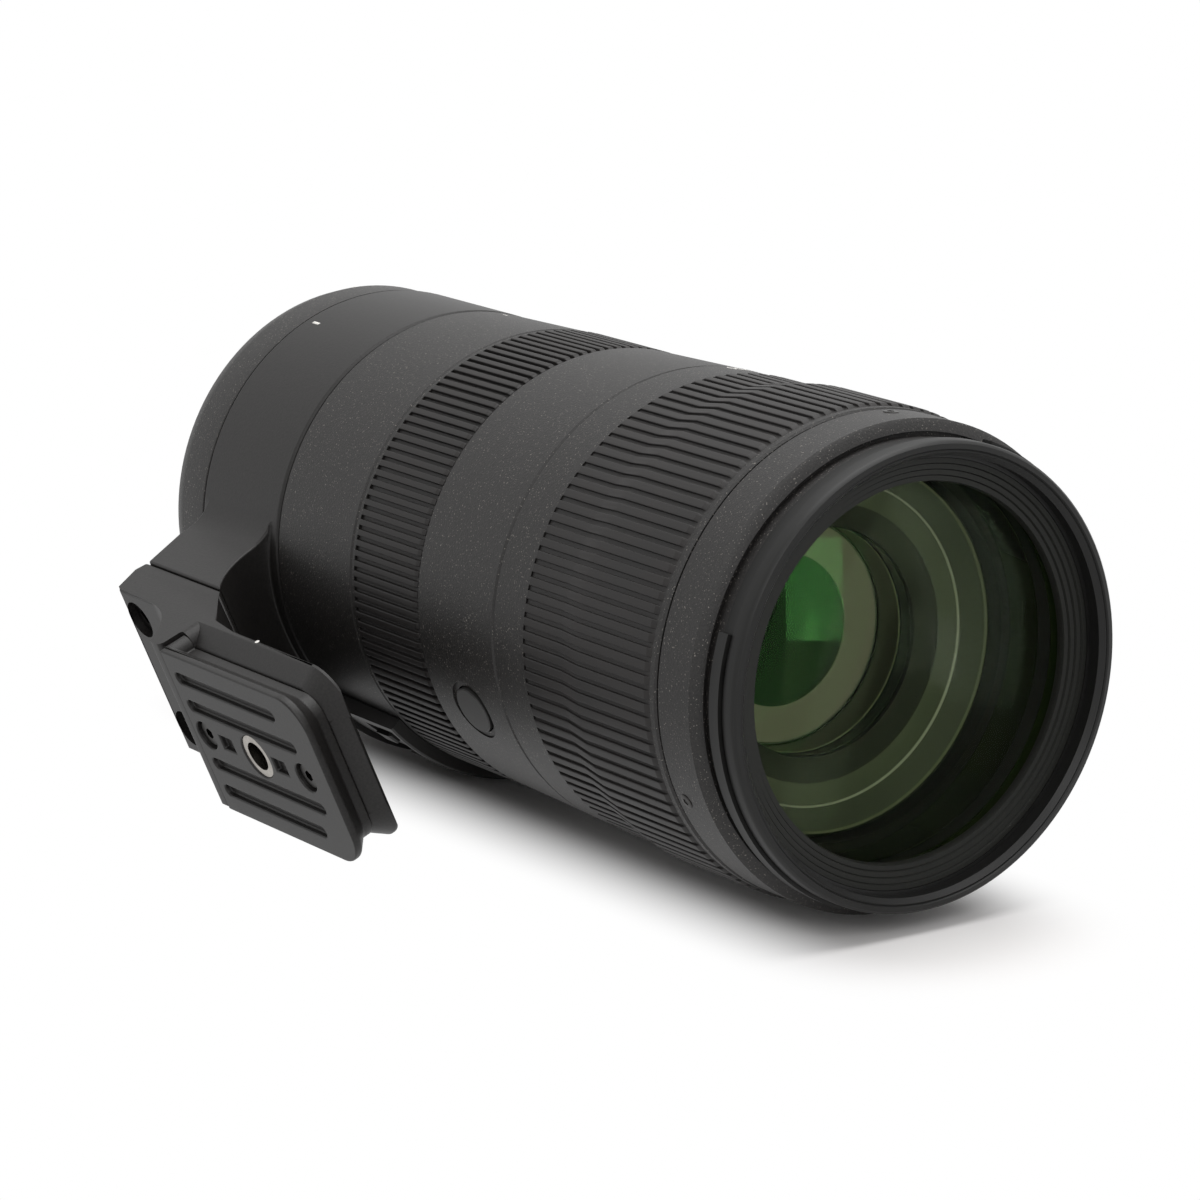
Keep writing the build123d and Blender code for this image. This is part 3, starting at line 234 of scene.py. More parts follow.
# %% Turned black metal
rim_metal, tree, surface = new_material(
    "turned_black_aluminium", {"Roughness": 0.45, "IOR": 1.5, "Specular IOR Level": 0.3}
)
where = add_node(tree, "ShaderNodeTexCoord")
squeeze = add_node(
    tree, "ShaderNodeMapping", inputs={"Vector": (where, "Object"), "Scale": (200, 9000, 200)}
)
lines = add_node(
    tree, "ShaderNodeTexNoise", inputs={"Vector": (squeeze, "Vector"), "Scale": 1.0}
)
vary_colour(tree, surface, (lines, "Fac"), "#0E0E0D", "#161615")
raise_grain(tree, surface, (lines, "Fac"), 0.01, 0.4)
print(rim_metal.name)

# %% [markdown]
# The two grips are moulded rubber: a warm dark grey, matt, and a little uneven where
# fingers have polished it. A slow noise varies the colour and the roughness.

# %% Grip rubber
rubber, tree, surface = new_material("moulded_rubber", {"IOR": 1.5, "Specular IOR Level": 0.35})
slow = grain(tree, 9.0, 3.0)
fine = grain(tree, 0.25, 2.0)
vary_colour(tree, surface, (slow, "Fac"), "#161413", "#1F1C1B")
vary_roughness(tree, surface, (slow, "Fac"), 0.46, 0.62)
raise_grain(tree, surface, (fine, "Fac"), 0.02, 0.5)
print(rubber.name)

# %% [markdown]
# Plastic pieces such as the buttons, the switches and the iris housing are moulded matt
# black with a faint texture.

# %% Black plastic
plastic = grained_material(
    "moulded_black_plastic",
    {"Roughness": 0.5, "IOR": 1.46},
    (0.3, 2.0),
    ("#1C1B1A", "#242322"),
    (0.02, 0.5),
)
print(plastic.name)

# %% [markdown]
# Metals: blackened steel for the screws and blades, stainless steel for the tripod bush
# and the mount's screws, chromed brass for the camera mount, gold plate for its contacts,
# and black anodised aluminium for the hidden tubes. The bare ones vary in roughness.

# %% Metals
ROUGHNESS_SWING = 0.15


def metal(name, low, high, roughness, size_mm):
    """Metal with a slow change of colour between two hex values and of roughness."""
    material, tree, surface = new_material(name, {"Metallic": 1.0})
    wear = grain(tree, size_mm, 3.0)
    vary_colour(tree, surface, (wear, "Fac"), low, high)
    low_rough, high_rough = roughness * (1 - ROUGHNESS_SWING), roughness * (1 + ROUGHNESS_SWING)
    vary_roughness(tree, surface, (wear, "Fac"), low_rough, high_rough)
    return material


dark_steel = metal("blackened_steel", "#2B2A29", "#3A3836", 0.38, 1.5)
bright_steel = metal("stainless_steel", "#8C8780", "#A6A19A", 0.25, 1.5)
mount_chrome = metal("chromed_brass", "#B4B3B2", "#C9C8C6", 0.22, 3.0)
contact_gold = metal("gold_plate", "#C9A24E", "#DDBB6A", 0.28, 1.0)
inner_metal = grained_material(
    "anodised_aluminium",
    {"Roughness": 0.6, "IOR": 1.5, "Specular IOR Level": 0.3},
    (0.6, 2.0),
    ("#0C0D0A", "#141510"),
)
print("five metals")

# %% [markdown]
# The main board is green glass-fibre laminate with a faint weave.

# %% Circuit board
board_green, tree, surface = new_material("glass_fibre_board", {"Roughness": 0.4})
weave = grain(tree, 0.8, 1.0)
vary_colour(tree, surface, (weave, "Fac"), "#0E3A22", "#185232", (0.35, 0.65))
print(board_green.name)

# %% [markdown]
# Coated optical glass reflects a tenth of what bare glass does, and what it reflects is
# green. The specular tint of a glass with full transmission is that coating, but it only
# works straight on, and a coating works at a slant too. A low index of refraction gives
# that: about 1.1 reflects as little as multicoated glass at the camera's forty degrees.
# The ground edge of each lens is inked, so past the clear radius it stops being clear.
# On the back zoom glass that edge is painted pale grey instead, a painted highlight ring.

# %% Optical glass
def distance_from_axis(tree):
    """Node whose Value is the distance from the optical axis, in metres."""
    where = add_node(tree, "ShaderNodeTexCoord")
    flat = add_node(
        tree,
        "ShaderNodeVectorMath",
        {"operation": "MULTIPLY"},
        {0: (where, "Object"), 1: (1, 0, 1)},
    )
    return add_node(
        tree, "ShaderNodeVectorMath", {"operation": "LENGTH"}, {0: (flat, "Vector")}
    )


def lens_glass(name, index, body_colour, coating, edge_ink_and_light, clear_radius):
    """Clear coated glass out to a radius in millimetres, and a matt edge colour beyond it; on the
    back zoom glass that colour is a painted highlight.
    """
    material, tree, surface = new_material(
        name, {"Roughness": 0.0, "IOR": index, "Specular Tint": linear(coating)}
    )
    clear = add_node(
        tree,
        "ShaderNodeMath",
        {"operation": "LESS_THAN"},
        {0: (distance_from_axis(tree), "Value"), 1: clear_radius * MM},
    )
    colour = add_node(
        tree,
        "ShaderNodeMix",
        {"data_type": "RGBA"},
        {"Factor": (clear, "Value"), "A": linear(edge_ink_and_light), "B": linear(body_colour)},
    )
    tree.links.new(colour.outputs["Result"], surface.inputs["Base Color"])
    tree.links.new(clear.outputs["Value"], surface.inputs["Transmission Weight"])
    return material


FRONT_CLEAR, ZOOM_CLEAR, WHOLE = 37.4, 20.8, 40.0
front_glass = lens_glass(
    "coated_front_glass", 1.12, "#F4F8EC", "#4A6A48", "#1C2412", FRONT_CLEAR
)
zoom_front_glass = lens_glass(
    "green_coated_zoom_glass", 1.2, "#F0F4E8", "#59FF7C", "#12160C", ZOOM_CLEAR
)
# Painted highlight: the pale grey past this glass's clear radius stands for light on its edge, not
# ink.
zoom_back_glass = lens_glass(
    "coated_zoom_glass", 1.12, "#F0F4E8", "#4A6A48", "#B6B8A2", ZOOM_CLEAR
)
inner_glass = lens_glass(
    "coated_inner_glass", 1.3, "#DDE8D0", "#63B47A", "#0C0D0A", WHOLE
)
print("four glasses")

# %% [markdown]
# The scale, the index lines and the dots are printed in a matt, slightly warm white.

# %% White ink
white_ink = grained_material(
    "white_ink", {"Roughness": 0.6}, (0.2, 1.0), ("#D9D6D0", "#EDEBE6")
)
print(white_ink.name)

# %% [markdown]
# Every CAD solid takes the finish of its real piece. The record already says which slot
# each node has, so a table from slot to material covers all of them.

# %% Finishes for the CAD solids
finishes = {
    "barrel_paint": barrel_paint,
    "collar_paint": collar_paint,
    "gloss_black": rim_metal,
    "black_metal": inner_metal,
    "grip_rubber": rubber,
    "front_glass": front_glass,
    "lens_glass": inner_glass,
    "black_plastic": plastic,
    "dark_steel": dark_steel,
    "blade_steel": dark_steel,
    "bright_steel": bright_steel,
    "mount_metal": mount_chrome,
    "brass_metal": contact_gold,
    "board_green": board_green,
}
node_slot = {part["node"]: part["material_slot"] for part in frame["record"]["subparts"]}
for name, node in nodes.items():
    node.data.materials.clear()
    node.data.materials.append(finishes[node_slot[name]])
print("finished", len(nodes), "nodes")

# %% [markdown]
# A CAD mesh is loose triangles, so a turned ring shows its facets. For the pieces that
# can be seen, a copy is merged and shaded smooth except at real edges. The cast and
# moulded ones also get a small bevel, because no such edge is razor sharp. The copy
# replaces the node. Angles are in degrees, and the welding distances in metres.

# %% Smooth copies of the visible solids
SHADING_CORNER, BEVELLED_CORNER, FLAT_ENOUGH = 28, 50, 0.5
CAD_WELD, FINE_WELD = 0.002 * MM, 0.001 * MM


def hand_over(piece, material, body, replaced=()):
    """Gives a finished piece its material and body, and hides the nodes it replaces."""
    piece.data.materials.clear()
    piece.data.materials.append(material)
    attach(piece, body)
    if replaced:
        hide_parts(*replaced)
    return piece


def piece_from(mesh, name):
    """Object at the origin from a bmesh, shaded smooth."""
    data = bpy.data.meshes.new(name)
    mesh.to_mesh(data)
    mesh.free()
    for face in data.polygons:
        face.use_smooth = True
    piece = bpy.data.objects.new(name, data)
    bpy.context.scene.collection.objects.link(piece)
    return piece


def keep_corners(mesh, angle=SHADING_CORNER):
    """Marks the edges that bend more than this as real corners, so that shading stops there."""
    for edge in mesh.edges:
        if len(edge.link_faces) == 2 and edge.calc_face_angle(0) > math.radians(angle):
            edge.smooth = False


def round_corners(mesh, edge_mm, shortest_mm):
    """Bevels the marked corners that are long enough to a soft edge of this width."""
    bmesh.ops.dissolve_limit(
        mesh,
        angle_limit=math.radians(FLAT_ENOUGH),
        verts=mesh.verts,
        edges=mesh.edges,
        delimit={"SHARP"},
    )
    corners = [
        edge
        for edge in mesh.edges
        if not edge.smooth and edge.is_manifold and edge.calc_length() > shortest_mm * MM
    ]
    for edge in corners:
        edge.smooth = True
    bmesh.ops.bevel(
        mesh,
        geom=corners,
        offset=edge_mm * MM,
        offset_type="OFFSET",
        segments=2,
        profile=0.5,
        affect="EDGES",
        clamp_overlap=False,
        material=-1,
    )
    keep_corners(mesh, BEVELLED_CORNER)


def refine(node_name, edge_mm=0, shortest_mm=0):
    """Merged, smoothly shaded copy of a CAD node, with soft edges where a width is given."""
    mesh = bmesh.new()
    mesh.from_mesh(nodes[node_name].data)
    bmesh.ops.remove_doubles(mesh, verts=mesh.verts, dist=CAD_WELD)
    keep_corners(mesh)
    if edge_mm:
        round_corners(mesh, edge_mm, shortest_mm)
    piece = piece_from(mesh, node_name + "_dressed")
    if edge_mm:
        normals = piece.modifiers.new("flat_face_normals", "WEIGHTED_NORMAL")
        normals.keep_sharp = True
    return piece


body_of = {
    node_name: body
    for body, node_names in frame["record"]["behaviour"]["bodies"].items()
    for node_name in node_names
}
refined = [
    "front_barrel", "filter_ring", "front_retaining_ring",
    "zoom_ring", "zoom_rubber", "mid_barrel", "focus_ring", "focus_rubber", "switch_barrel",
    "switch_panel", "tripod_collar", "foot", "foot_bolts", "dovetail_pad", "tripod_insert",
    "lock_knob", "rear_cover", "mount_flange", "rear_baffle", "front_cell", "guide_tube",
    "function_button_1", "function_button_2", "function_button_3", "variator_cell",
    "compensator_cell", "compensator_elements",
]
soft_edges = {  # node: width of the soft edge, shortest edge that gets one
    "foot": (0.5, 5.0),
    "dovetail_pad": (0.35, 0),
    "tripod_collar": (0.5, 0),
    "zoom_rubber": (0.16, 0),
    "focus_rubber": (0.14, 0),
}
for name in refined:
    piece = refine(name, *soft_edges.get(name, (0, 0)))
    hand_over(piece, finishes[node_slot[name]], body_of[name], [name])
print("refined", len(refined), "nodes")

# %% [markdown]
# A lens element is ground to two spherical faces. The CAD solid has the right faces, but
# light bends at every small facet of its mesh, so the elements that the camera looks
# through are turned again with finer steps: half a section, spun once round the axis. The
# second and third glass meet in one face, so they are turned as one cemented doublet.

# %% Turned glass
LATHE_STEPS, LENS_RINGS = 144, 24


def lathe(profile, name, closed=True):
    """Piece turned round the optical axis from (radius, ahead) points in millimetres."""
    mesh = bmesh.new()
    verts = [mesh.verts.new((radius * MM, -ahead * MM, 0)) for radius, ahead in profile]
    ends = verts[1:] + verts[:1] if closed else verts[1:]
    edges = [mesh.edges.new(pair) for pair in zip(verts, ends)]
    bmesh.ops.spin(
        mesh,
        geom=verts + edges,
        cent=(0, 0, 0),
        axis=(0, 1, 0),
        angle=math.tau,
        steps=LATHE_STEPS,
        use_merge=True,
    )
    bmesh.ops.remove_doubles(mesh, verts=mesh.verts, dist=FINE_WELD)
    bmesh.ops.recalc_face_normals(mesh, faces=mesh.faces)
    keep_corners(mesh)
    return piece_from(mesh, name)


def sag(curve, radius):
    """Depth of a spherical face at a radius; a hollow face has a negative curve."""
    return math.copysign(abs(curve) - math.sqrt(curve**2 - radius**2), curve)


def element(rim, front, front_curve, back, back_curve):
    """Half section of a lens between two spherical faces, from axis to axis."""
    radii = [rim * index / LENS_RINGS for index in range(LENS_RINGS + 1)]
    face = [(radius, front - sag(front_curve, radius)) for radius in radii]
    rear = [(radius, back + sag(back_curve, radius)) for radius in reversed(radii)]
    return face + rear


FRONT_RIM, ZOOM_RIM = 37.6, 21.0
front_section = element(FRONT_RIM, 198.39, 290, 189.96, 900)
doublet_section = element(FRONT_RIM, 189.66, 240, 173.96, 420)
zoom_front_section = element(ZOOM_RIM, 167.05, 400, 165.25, -90)
zoom_back_section = element(ZOOM_RIM, 159.98, -90, 158.18, -200)
turned_glass = [  # name, half section, glass, body, slot, node it replaces
    (
        "front_element_turned", front_section, front_glass,
        "barrel", "front_glass", "front_element",
    ),
    (
        "front_doublet_turned", doublet_section, front_glass,
        "barrel", "lens_glass", "front_group_elements",
    ),
    (
        "zoom_front_element_turned", zoom_front_section, zoom_front_glass,
        "variator", "lens_glass", "variator_elements",
    ),
    (
        "zoom_back_element_turned", zoom_back_section, zoom_back_glass,
        "variator", "lens_glass", "variator_elements",
    ),
]
for name, section, glass, body, slot, node_name in turned_glass:
    piece = lathe(section, name, closed=False)
    hand_over(piece, glass, body, [node_name])
    print(name, len(piece.data.polygons), "faces")

# %% [markdown]
# Behind the front glass the camera sees the steps of the moving zoom cell: a flat ring
# behind its two glasses and a stepped cover ring in front. They are blackened, but how each
# step catches the light is painted into its colour: lighter and darker bands by radius, with
# a thin painted highlight ring. Light to the deep ring and back crosses sixteen faces, more
# than the renderer follows, so the flat ring is painted pale and given a faint glow that
# stands in for it.

# %% Rings behind the front glass
LARGEST_BAND = 40  # millimetres, the radius at the end of the colour ramp


def stepped_black(name, bands, glow=0.0):
    """Blackened metal with painted light: its tone changes at each radius, and a glow paints in
    light; bands are (from radius, hex).
    """
    material, tree, surface = new_material(
        name, {"Roughness": 0.55, "IOR": 1.5, "Specular IOR Level": 0.25}
    )
    share = add_node(
        tree,
        "ShaderNodeMapRange",
        inputs={"Value": (distance_from_axis(tree), "Value"), "From Max": LARGEST_BAND * MM},
    )
    tone = ramp(tree, (share, "Result"), [(start / LARGEST_BAND, code) for start, code in bands])
    tone.color_ramp.interpolation = "CONSTANT"
    tree.links.new(tone.outputs["Color"], surface.inputs["Base Color"])
    if glow:
        tree.links.new(tone.outputs["Color"], surface.inputs["Emission Color"])
        surface.inputs["Emission Strength"].default_value = glow
    return material


# Painted light: the flat holder ring is painted pale grey and glows faintly, standing in for
# light.
holder_painted_glow = stepped_black(
    "glass_holder_painted_glow", [(0, "#6B6660"), (20.6, "#3A3E34")], glow=0.6
)
# Painted light and shade: each step's band is lighter or darker by how it catches the light, with
# a thin painted highlight at 29.6 mm.
cell_steps_painted_light = stepped_black(
    "cell_steps_painted_bands",
    [
        (0, "#12160C"),
        (25.6, "#4C5044"),
        (29.6, "#9A9C90"),
        (29.9, "#3A3E34"),
        (33.9, "#5E6250"),
        (34.3, "#12160C"),
    ],
)
glass_holder = lathe(
    [(14.2, 156.3), (20.95, 156.3), (20.95, 156.6), (14.2, 156.6)], "zoom_glass_holder"
)
hand_over(glass_holder, holder_painted_glow, "variator")
cell_cover = lathe(
    [
        (21.3, 167.4),
        (25.6, 168.6),
        (29.6, 168.9),
        (29.9, 169.3),
        (33.9, 172.0),
        (34.3, 172.3),
        (34.8, 172.3),
        (34.8, 167.4),
    ],
    "zoom_cell_cover",
)
hand_over(cell_cover, cell_steps_painted_light, "variator")
print("rings with", len(glass_holder.data.polygons), "and", len(cell_cover.data.polygons), "faces")

# %% [markdown]
# Small screws and marks sit on a curved barrel. Rather than trusting a nominal radius, a
# ray is cast inwards on the CAD mesh, so each one lands exactly on what carries it.

# %% Finding the surface
OUTSIDE = 90  # millimetres from the axis, clear of every piece
BARREL_SCREW_CLOCKS, BARREL_SCREW_AHEAD, SCREW_SINK = (115.6, 235.6, 355.6), 185.8, 0.05
surface_trees = {}


def surface_tree(node_name):
    """Search tree of a node's CAD mesh, made once."""
    if node_name not in surface_trees:
        mesh = nodes[node_name].data
        surface_trees[node_name] = BVHTree.FromPolygons(
            [vertex.co for vertex in mesh.vertices], [face.vertices for face in mesh.polygons]
        )
    return surface_trees[node_name]


def surface_radius(node_name, clock, ahead):
    """Radius of a node's outer surface at a clock angle and distance ahead, in millimetres."""
    start = place(clock, OUTSIDE, ahead)
    found = surface_tree(node_name).ray_cast(start, -outward(clock))[0]
    return math.hypot(found.x, found.z) / MM


first_screw_radius = surface_radius("front_barrel", BARREL_SCREW_CLOCKS[0], BARREL_SCREW_AHEAD)
print("front barrel radius", round(first_screw_radius, 2))

# %% [markdown]
# Each socket screw has a chamfered head with a hexagon pocket. A circle is pulled up into a
# wall and a chamfer, bridged to a hexagon, and the hexagon is pushed down and closed.

# %% Socket screws
WALL_SHARE, CHAMFER_SHRINK = 0.7, 0.9  # of the head's height, and of its radius
FOOT_CLOCK, PAD_FLOOR, PAD_SCREWS_AHEAD = 113.6, 75.1, (63.6, 101.0)


def edges_between(verts):
    """Edges whose two ends are both in a list of vertices, in the same order each run."""
    kept = set(verts)
    edges = (edge for vert in verts for edge in vert.link_edges if edge.other_vert(vert) in kept)
    return list(dict.fromkeys(edges))


def raise_loop(mesh, edges, up, shrink=1.0):
    """Extrudes a loop by a height in millimetres, scaled about its centre; gives its verts."""
    moved = bmesh.ops.extrude_edge_only(mesh, edges=edges)["geom"]
    verts = [item for item in moved if isinstance(item, bmesh.types.BMVert)]
    bmesh.ops.scale(mesh, verts=verts, vec=(shrink, shrink, 1))
    bmesh.ops.translate(mesh, verts=verts, vec=(0, 0, up * MM))
    return verts


def socket_screw(name, where, size, body, slot, corners=6):
    """Screw head with a pocket, set down at a frame; sizes are in millimetres."""
    mesh = bmesh.new()
    rim = bmesh.ops.create_circle(mesh, segments=36, radius=size["head"] * MM)["verts"]
    bmesh.ops.edgeloop_fill(mesh, edges=edges_between(rim))
    wall = raise_loop(mesh, edges_between(rim), size["rise"] * WALL_SHARE)
    crown = raise_loop(
        mesh, edges_between(wall), size["rise"] * (1 - WALL_SHARE), shrink=CHAMFER_SHRINK
    )
    pocket = bmesh.ops.create_circle(mesh, segments=corners, radius=size["socket"] * MM)["verts"]
    bmesh.ops.translate(mesh, verts=pocket, vec=(0, 0, size["rise"] * MM))
    bmesh.ops.bridge_loops(mesh, edges=edges_between(crown) + edges_between(pocket))
    pocket_floor = raise_loop(mesh, edges_between(pocket), -size["depth"])
    bmesh.ops.edgeloop_fill(mesh, edges=edges_between(pocket_floor))
    bmesh.ops.recalc_face_normals(mesh, faces=mesh.faces)
    keep_corners(mesh)
    bmesh.ops.transform(mesh, matrix=where, verts=mesh.verts)
    return hand_over(piece_from(mesh, name), finishes[slot], body)


barrel_screw_size = {"head": 1.5, "rise": 0.2, "socket": 0.75, "depth": 0.18}
for index, clock in enumerate(BARREL_SCREW_CLOCKS, 1):
    radius = surface_radius("front_barrel", clock, BARREL_SCREW_AHEAD) - SCREW_SINK
    where = stand(clock, radius, BARREL_SCREW_AHEAD)
    socket_screw(f"barrel_screw_{index}", where, barrel_screw_size, "barrel", "dark_steel")
pad_screw_size = {"head": 2.9, "rise": 1.0, "socket": 1.25, "depth": 0.9}
for index, ahead in enumerate(PAD_SCREWS_AHEAD, 1):
    where = stand(FOOT_CLOCK, PAD_FLOOR, ahead)
    socket_screw(f"pad_screw_{index}", where, pad_screw_size, body_of["foot"], "dark_steel")
print("socket screws", len(BARREL_SCREW_CLOCKS) + len(PAD_SCREWS_AHEAD))

# %% [markdown]
# The rear of the mount has four flat-headed screws. The faces between their rim and their
# square pocket fold over the pocket and cover it, so the heads look flat. They face
# backwards, so their frame looks along +Y.

# %% Mount screws
MOUNT_SCREW_CLOCKS, MOUNT_SCREW_RADIUS, MOUNT_SCREW_AHEAD = (45, 135, 225, 315), 29.4, 0.02
mount_screw_size = {"head": 1.7, "rise": 0.08, "socket": 0.8, "depth": 0.05}
face_back = Matrix.Rotation(math.radians(-90), 4, "X")
for index, clock in enumerate(MOUNT_SCREW_CLOCKS, 1):
    spot = place(clock, MOUNT_SCREW_RADIUS, MOUNT_SCREW_AHEAD)
    where = Matrix.Translation(spot) @ face_back
    socket_screw(
        f"mount_screw_{index}", where, mount_screw_size, "barrel", "bright_steel", corners=4
    )
print("mount screws", len(MOUNT_SCREW_CLOCKS))

# %% [markdown]
# Marks are thin white ink. Text becomes a mesh first; then every point of the flat drawing
# is bent onto the barrel, with x running round it and y towards the front. The numbers on
# the zoom ring read from behind the camera, spaced by the logarithm of the focal length.

# %% Scale numbers and index lines
INK_THICKNESS = 0.03
DIGIT_SHARE = 0.7  # of the font's size that a digit is high


def wrap(mesh, clock, radius, ahead):
    """Bends a flat mesh onto the barrel."""
    for vertex in mesh.verts:
        x, y, z = vertex.co
        angle = math.radians(clock) + x / (radius * MM)
        reach = radius * MM + z
        vertex.co = (-math.sin(angle) * reach, -(ahead * MM + y), math.cos(angle) * reach)


def line_mark(name, node_name, clock, ahead, length, width, body):
    """White line along the barrel on the outer surface of a node."""
    mesh = bmesh.new()
    bmesh.ops.create_cube(mesh, size=1)
    bmesh.ops.scale(mesh, verts=mesh.verts, vec=(width * MM, length * MM, INK_THICKNESS * MM))
    wrap(mesh, clock, surface_radius(node_name, clock, ahead), ahead)
    return hand_over(piece_from(mesh, name), white_ink, body)


def number_mark(text, node_name, clock, ahead, height, body):
    """Number whose digits stand towards the front, on the outer surface of a node."""
    curve = bpy.data.curves.new("digits", "FONT")
    curve.body = text
    curve.align_x, curve.align_y = "CENTER", "CENTER"
    curve.size = height * MM / DIGIT_SHARE
    curve.extrude = INK_THICKNESS * MM / 2
    holder = bpy.data.objects.new("digits", curve)
    bpy.context.scene.collection.objects.link(holder)
    drawn = bpy.data.meshes.new_from_object(holder)
    bpy.data.objects.remove(holder)
    mesh = bmesh.new()
    mesh.from_mesh(drawn)
    bmesh.ops.remove_doubles(mesh, verts=mesh.verts, dist=FINE_WELD)
    wrap(mesh, clock, surface_radius(node_name, clock, ahead), ahead)
    return hand_over(piece_from(mesh, f"scale_number_{text}"), white_ink, body)


FOCAL_LENGTHS = (70, 85, 100, 135, 200)
ZOOM_TURN, ZOOM_INDEX_CLOCK, SCALE_AHEAD, DIGIT_HEIGHT = 80, 268, 131.0, 2.5
whole_zoom = math.log(FOCAL_LENGTHS[-1] / FOCAL_LENGTHS[0])
for focal in FOCAL_LENGTHS:
    share = math.log(focal / FOCAL_LENGTHS[0]) / whole_zoom
    clock = ZOOM_INDEX_CLOCK + ZOOM_TURN * share
    number_mark(str(focal), "zoom_ring", clock, SCALE_AHEAD, DIGIT_HEIGHT, "zoom")
index_lines = [  # name, node, clock, ahead, length, width
    ("zoom_index_line", "mid_barrel", ZOOM_INDEX_CLOCK, 126.9, 2.2, 0.5),
    ("collar_index_line", "tripod_collar", 25.2, 22.6, 2.4, 0.7),
    ("barrel_index_line", "switch_barrel", 350.5, 53.9, 2.2, 0.5),
]
for name, node_name, *sizes in index_lines:
    line_mark(name, node_name, *sizes, body_of[node_name])
print("scale numbers end at clock", ZOOM_INDEX_CLOCK + ZOOM_TURN)

# %% [markdown]
# Two round dabs of white ink: the mount index by the flange, where the camera's own mark
# meets it, and a small one on the side of the foot, set on the face that the ray finds.

# %% Round marks
def dot_mark(name, where, radius, body):
    """Small round dab of white ink, set down at a frame; the radius is in millimetres."""
    mesh = bmesh.new()
    dab = bmesh.ops.create_circle(mesh, segments=24, radius=radius * MM)["verts"]
    bmesh.ops.edgeloop_fill(mesh, edges=edges_between(dab))
    top = raise_loop(mesh, edges_between(dab), INK_THICKNESS, 0.9)
    bmesh.ops.edgeloop_fill(mesh, edges=edges_between(top))
    bmesh.ops.recalc_face_normals(mesh, faces=mesh.faces)
    bmesh.ops.transform(mesh, matrix=where, verts=mesh.verts)
    return hand_over(piece_from(mesh, name), white_ink, body)


DOT_SINK = 0.01
MOUNT_DOT_CLOCK, MOUNT_DOT_AHEAD, MOUNT_DOT_RADIUS = 0, 8.0, 0.9
FOOT_DOT_HEIGHT, FOOT_DOT_AHEAD, FOOT_DOT_RADIUS = 66.0, 80.0, 0.5
cover_radius = surface_radius("rear_cover", MOUNT_DOT_CLOCK, MOUNT_DOT_AHEAD)
dot_mark(
    "mount_index_dot",
    stand(MOUNT_DOT_CLOCK, cover_radius - DOT_SINK, MOUNT_DOT_AHEAD),
    MOUNT_DOT_RADIUS,
    "barrel",
)
foot_up = outward(FOOT_CLOCK)
foot_side = foot_up.cross(AHEAD)
side_start = place(FOOT_CLOCK, FOOT_DOT_HEIGHT, FOOT_DOT_AHEAD) + foot_side * OUTSIDE * MM
side_spot = surface_tree("foot").ray_cast(side_start, -foot_side)[0]
side_frame = Matrix((foot_up, foot_side.cross(foot_up), foot_side)).transposed().to_4x4()
dot_mark(
    "foot_mark_dot",
    Matrix.Translation(side_spot - foot_side * DOT_SINK * MM) @ side_frame,
    FOOT_DOT_RADIUS,
    body_of["foot"],
)
print("foot dot at", [round(v, 4) for v in side_spot])

# %% [markdown]
# The table is a wide white sheet. It is lit like the object, so it keeps the soft shadow
# under the lens. For the camera, and in reflections, a painted white glow covers it away from
# the lens, fading in with the distance from the barrel's line, so the shadow's outer part is
# painted over, as in a studio picture.

# %% Table
TABLE_HALF_WIDTH = 4.0
SHADOW_KEPT, WHITE_FROM = 0.012, 0.042
floor_height = cad_box[0][2]
barrel_back, barrel_front = cad_box[1][1], cad_box[0][1]
table = bmesh.new()
bmesh.ops.create_grid(table, x_segments=1, y_segments=1, size=TABLE_HALF_WIDTH)
bmesh.ops.translate(table, verts=table.verts, vec=(0, 0, floor_height))
floor = piece_from(table, "table")
floor_paper, tree, surface = new_material(
    "white_paper",
    {"Base Color": linear("#FAF8F7"), "Roughness": 0.9, "Specular IOR Level": 0.1},
)


def seen_directly(tree):
    """One for camera, glossy and transmission rays, nought for the light that falls on things."""
    path = add_node(tree, "ShaderNodeLightPath")
    first = add_node(
        tree,
        "ShaderNodeMath",
        {"operation": "MAXIMUM"},
        {0: (path, "Is Camera Ray"), 1: (path, "Is Glossy Ray")},
    )
    return add_node(
        tree,
        "ShaderNodeMath",
        {"operation": "MAXIMUM"},
        {0: (first, "Value"), 1: (path, "Is Transmission Ray")},
    )


where = add_node(tree, "ShaderNodeTexCoord")
split = add_node(tree, "ShaderNodeSeparateXYZ", inputs={"Vector": (where, "Object")})
nearest = add_node(
    tree,
    "ShaderNodeClamp",
    inputs={"Value": (split, "Y"), "Min": barrel_front, "Max": barrel_back},
)
axis_point = add_node(
    tree, "ShaderNodeCombineXYZ", inputs={"Y": (nearest, "Result"), "Z": floor_height}
)
away = add_node(
    tree,
    "ShaderNodeVectorMath",
    {"operation": "DISTANCE"},
    {0: (where, "Object"), 1: (axis_point, "Vector")},
)
whiteness = add_node(
    tree,
    "ShaderNodeMapRange",
    {"interpolation_type": "SMOOTHSTEP"},
    {"Value": (away, "Value"), "From Min": SHADOW_KEPT, "From Max": WHITE_FROM},
)
share = add_node(
    tree,
    "ShaderNodeMath",
    {"operation": "MULTIPLY"},
    {0: (whiteness, "Result"), 1: (seen_directly(tree), "Value")},
)
# Painted light: this white glow fades in with distance from the barrel and covers the shadow's
# outer part.
white = add_node(tree, "ShaderNodeEmission", inputs={"Strength": 1.0})
blend = add_node(
    tree,
    "ShaderNodeMixShader",
    inputs={0: (share, "Value"), 1: (surface, "BSDF"), 2: (white, "Emission")},
)
tree.links.new(blend.outputs["Shader"], tree.nodes["Material Output"].inputs["Surface"])
floor.data.materials.append(floor_paper)
print("table at", round(floor_height, 4))

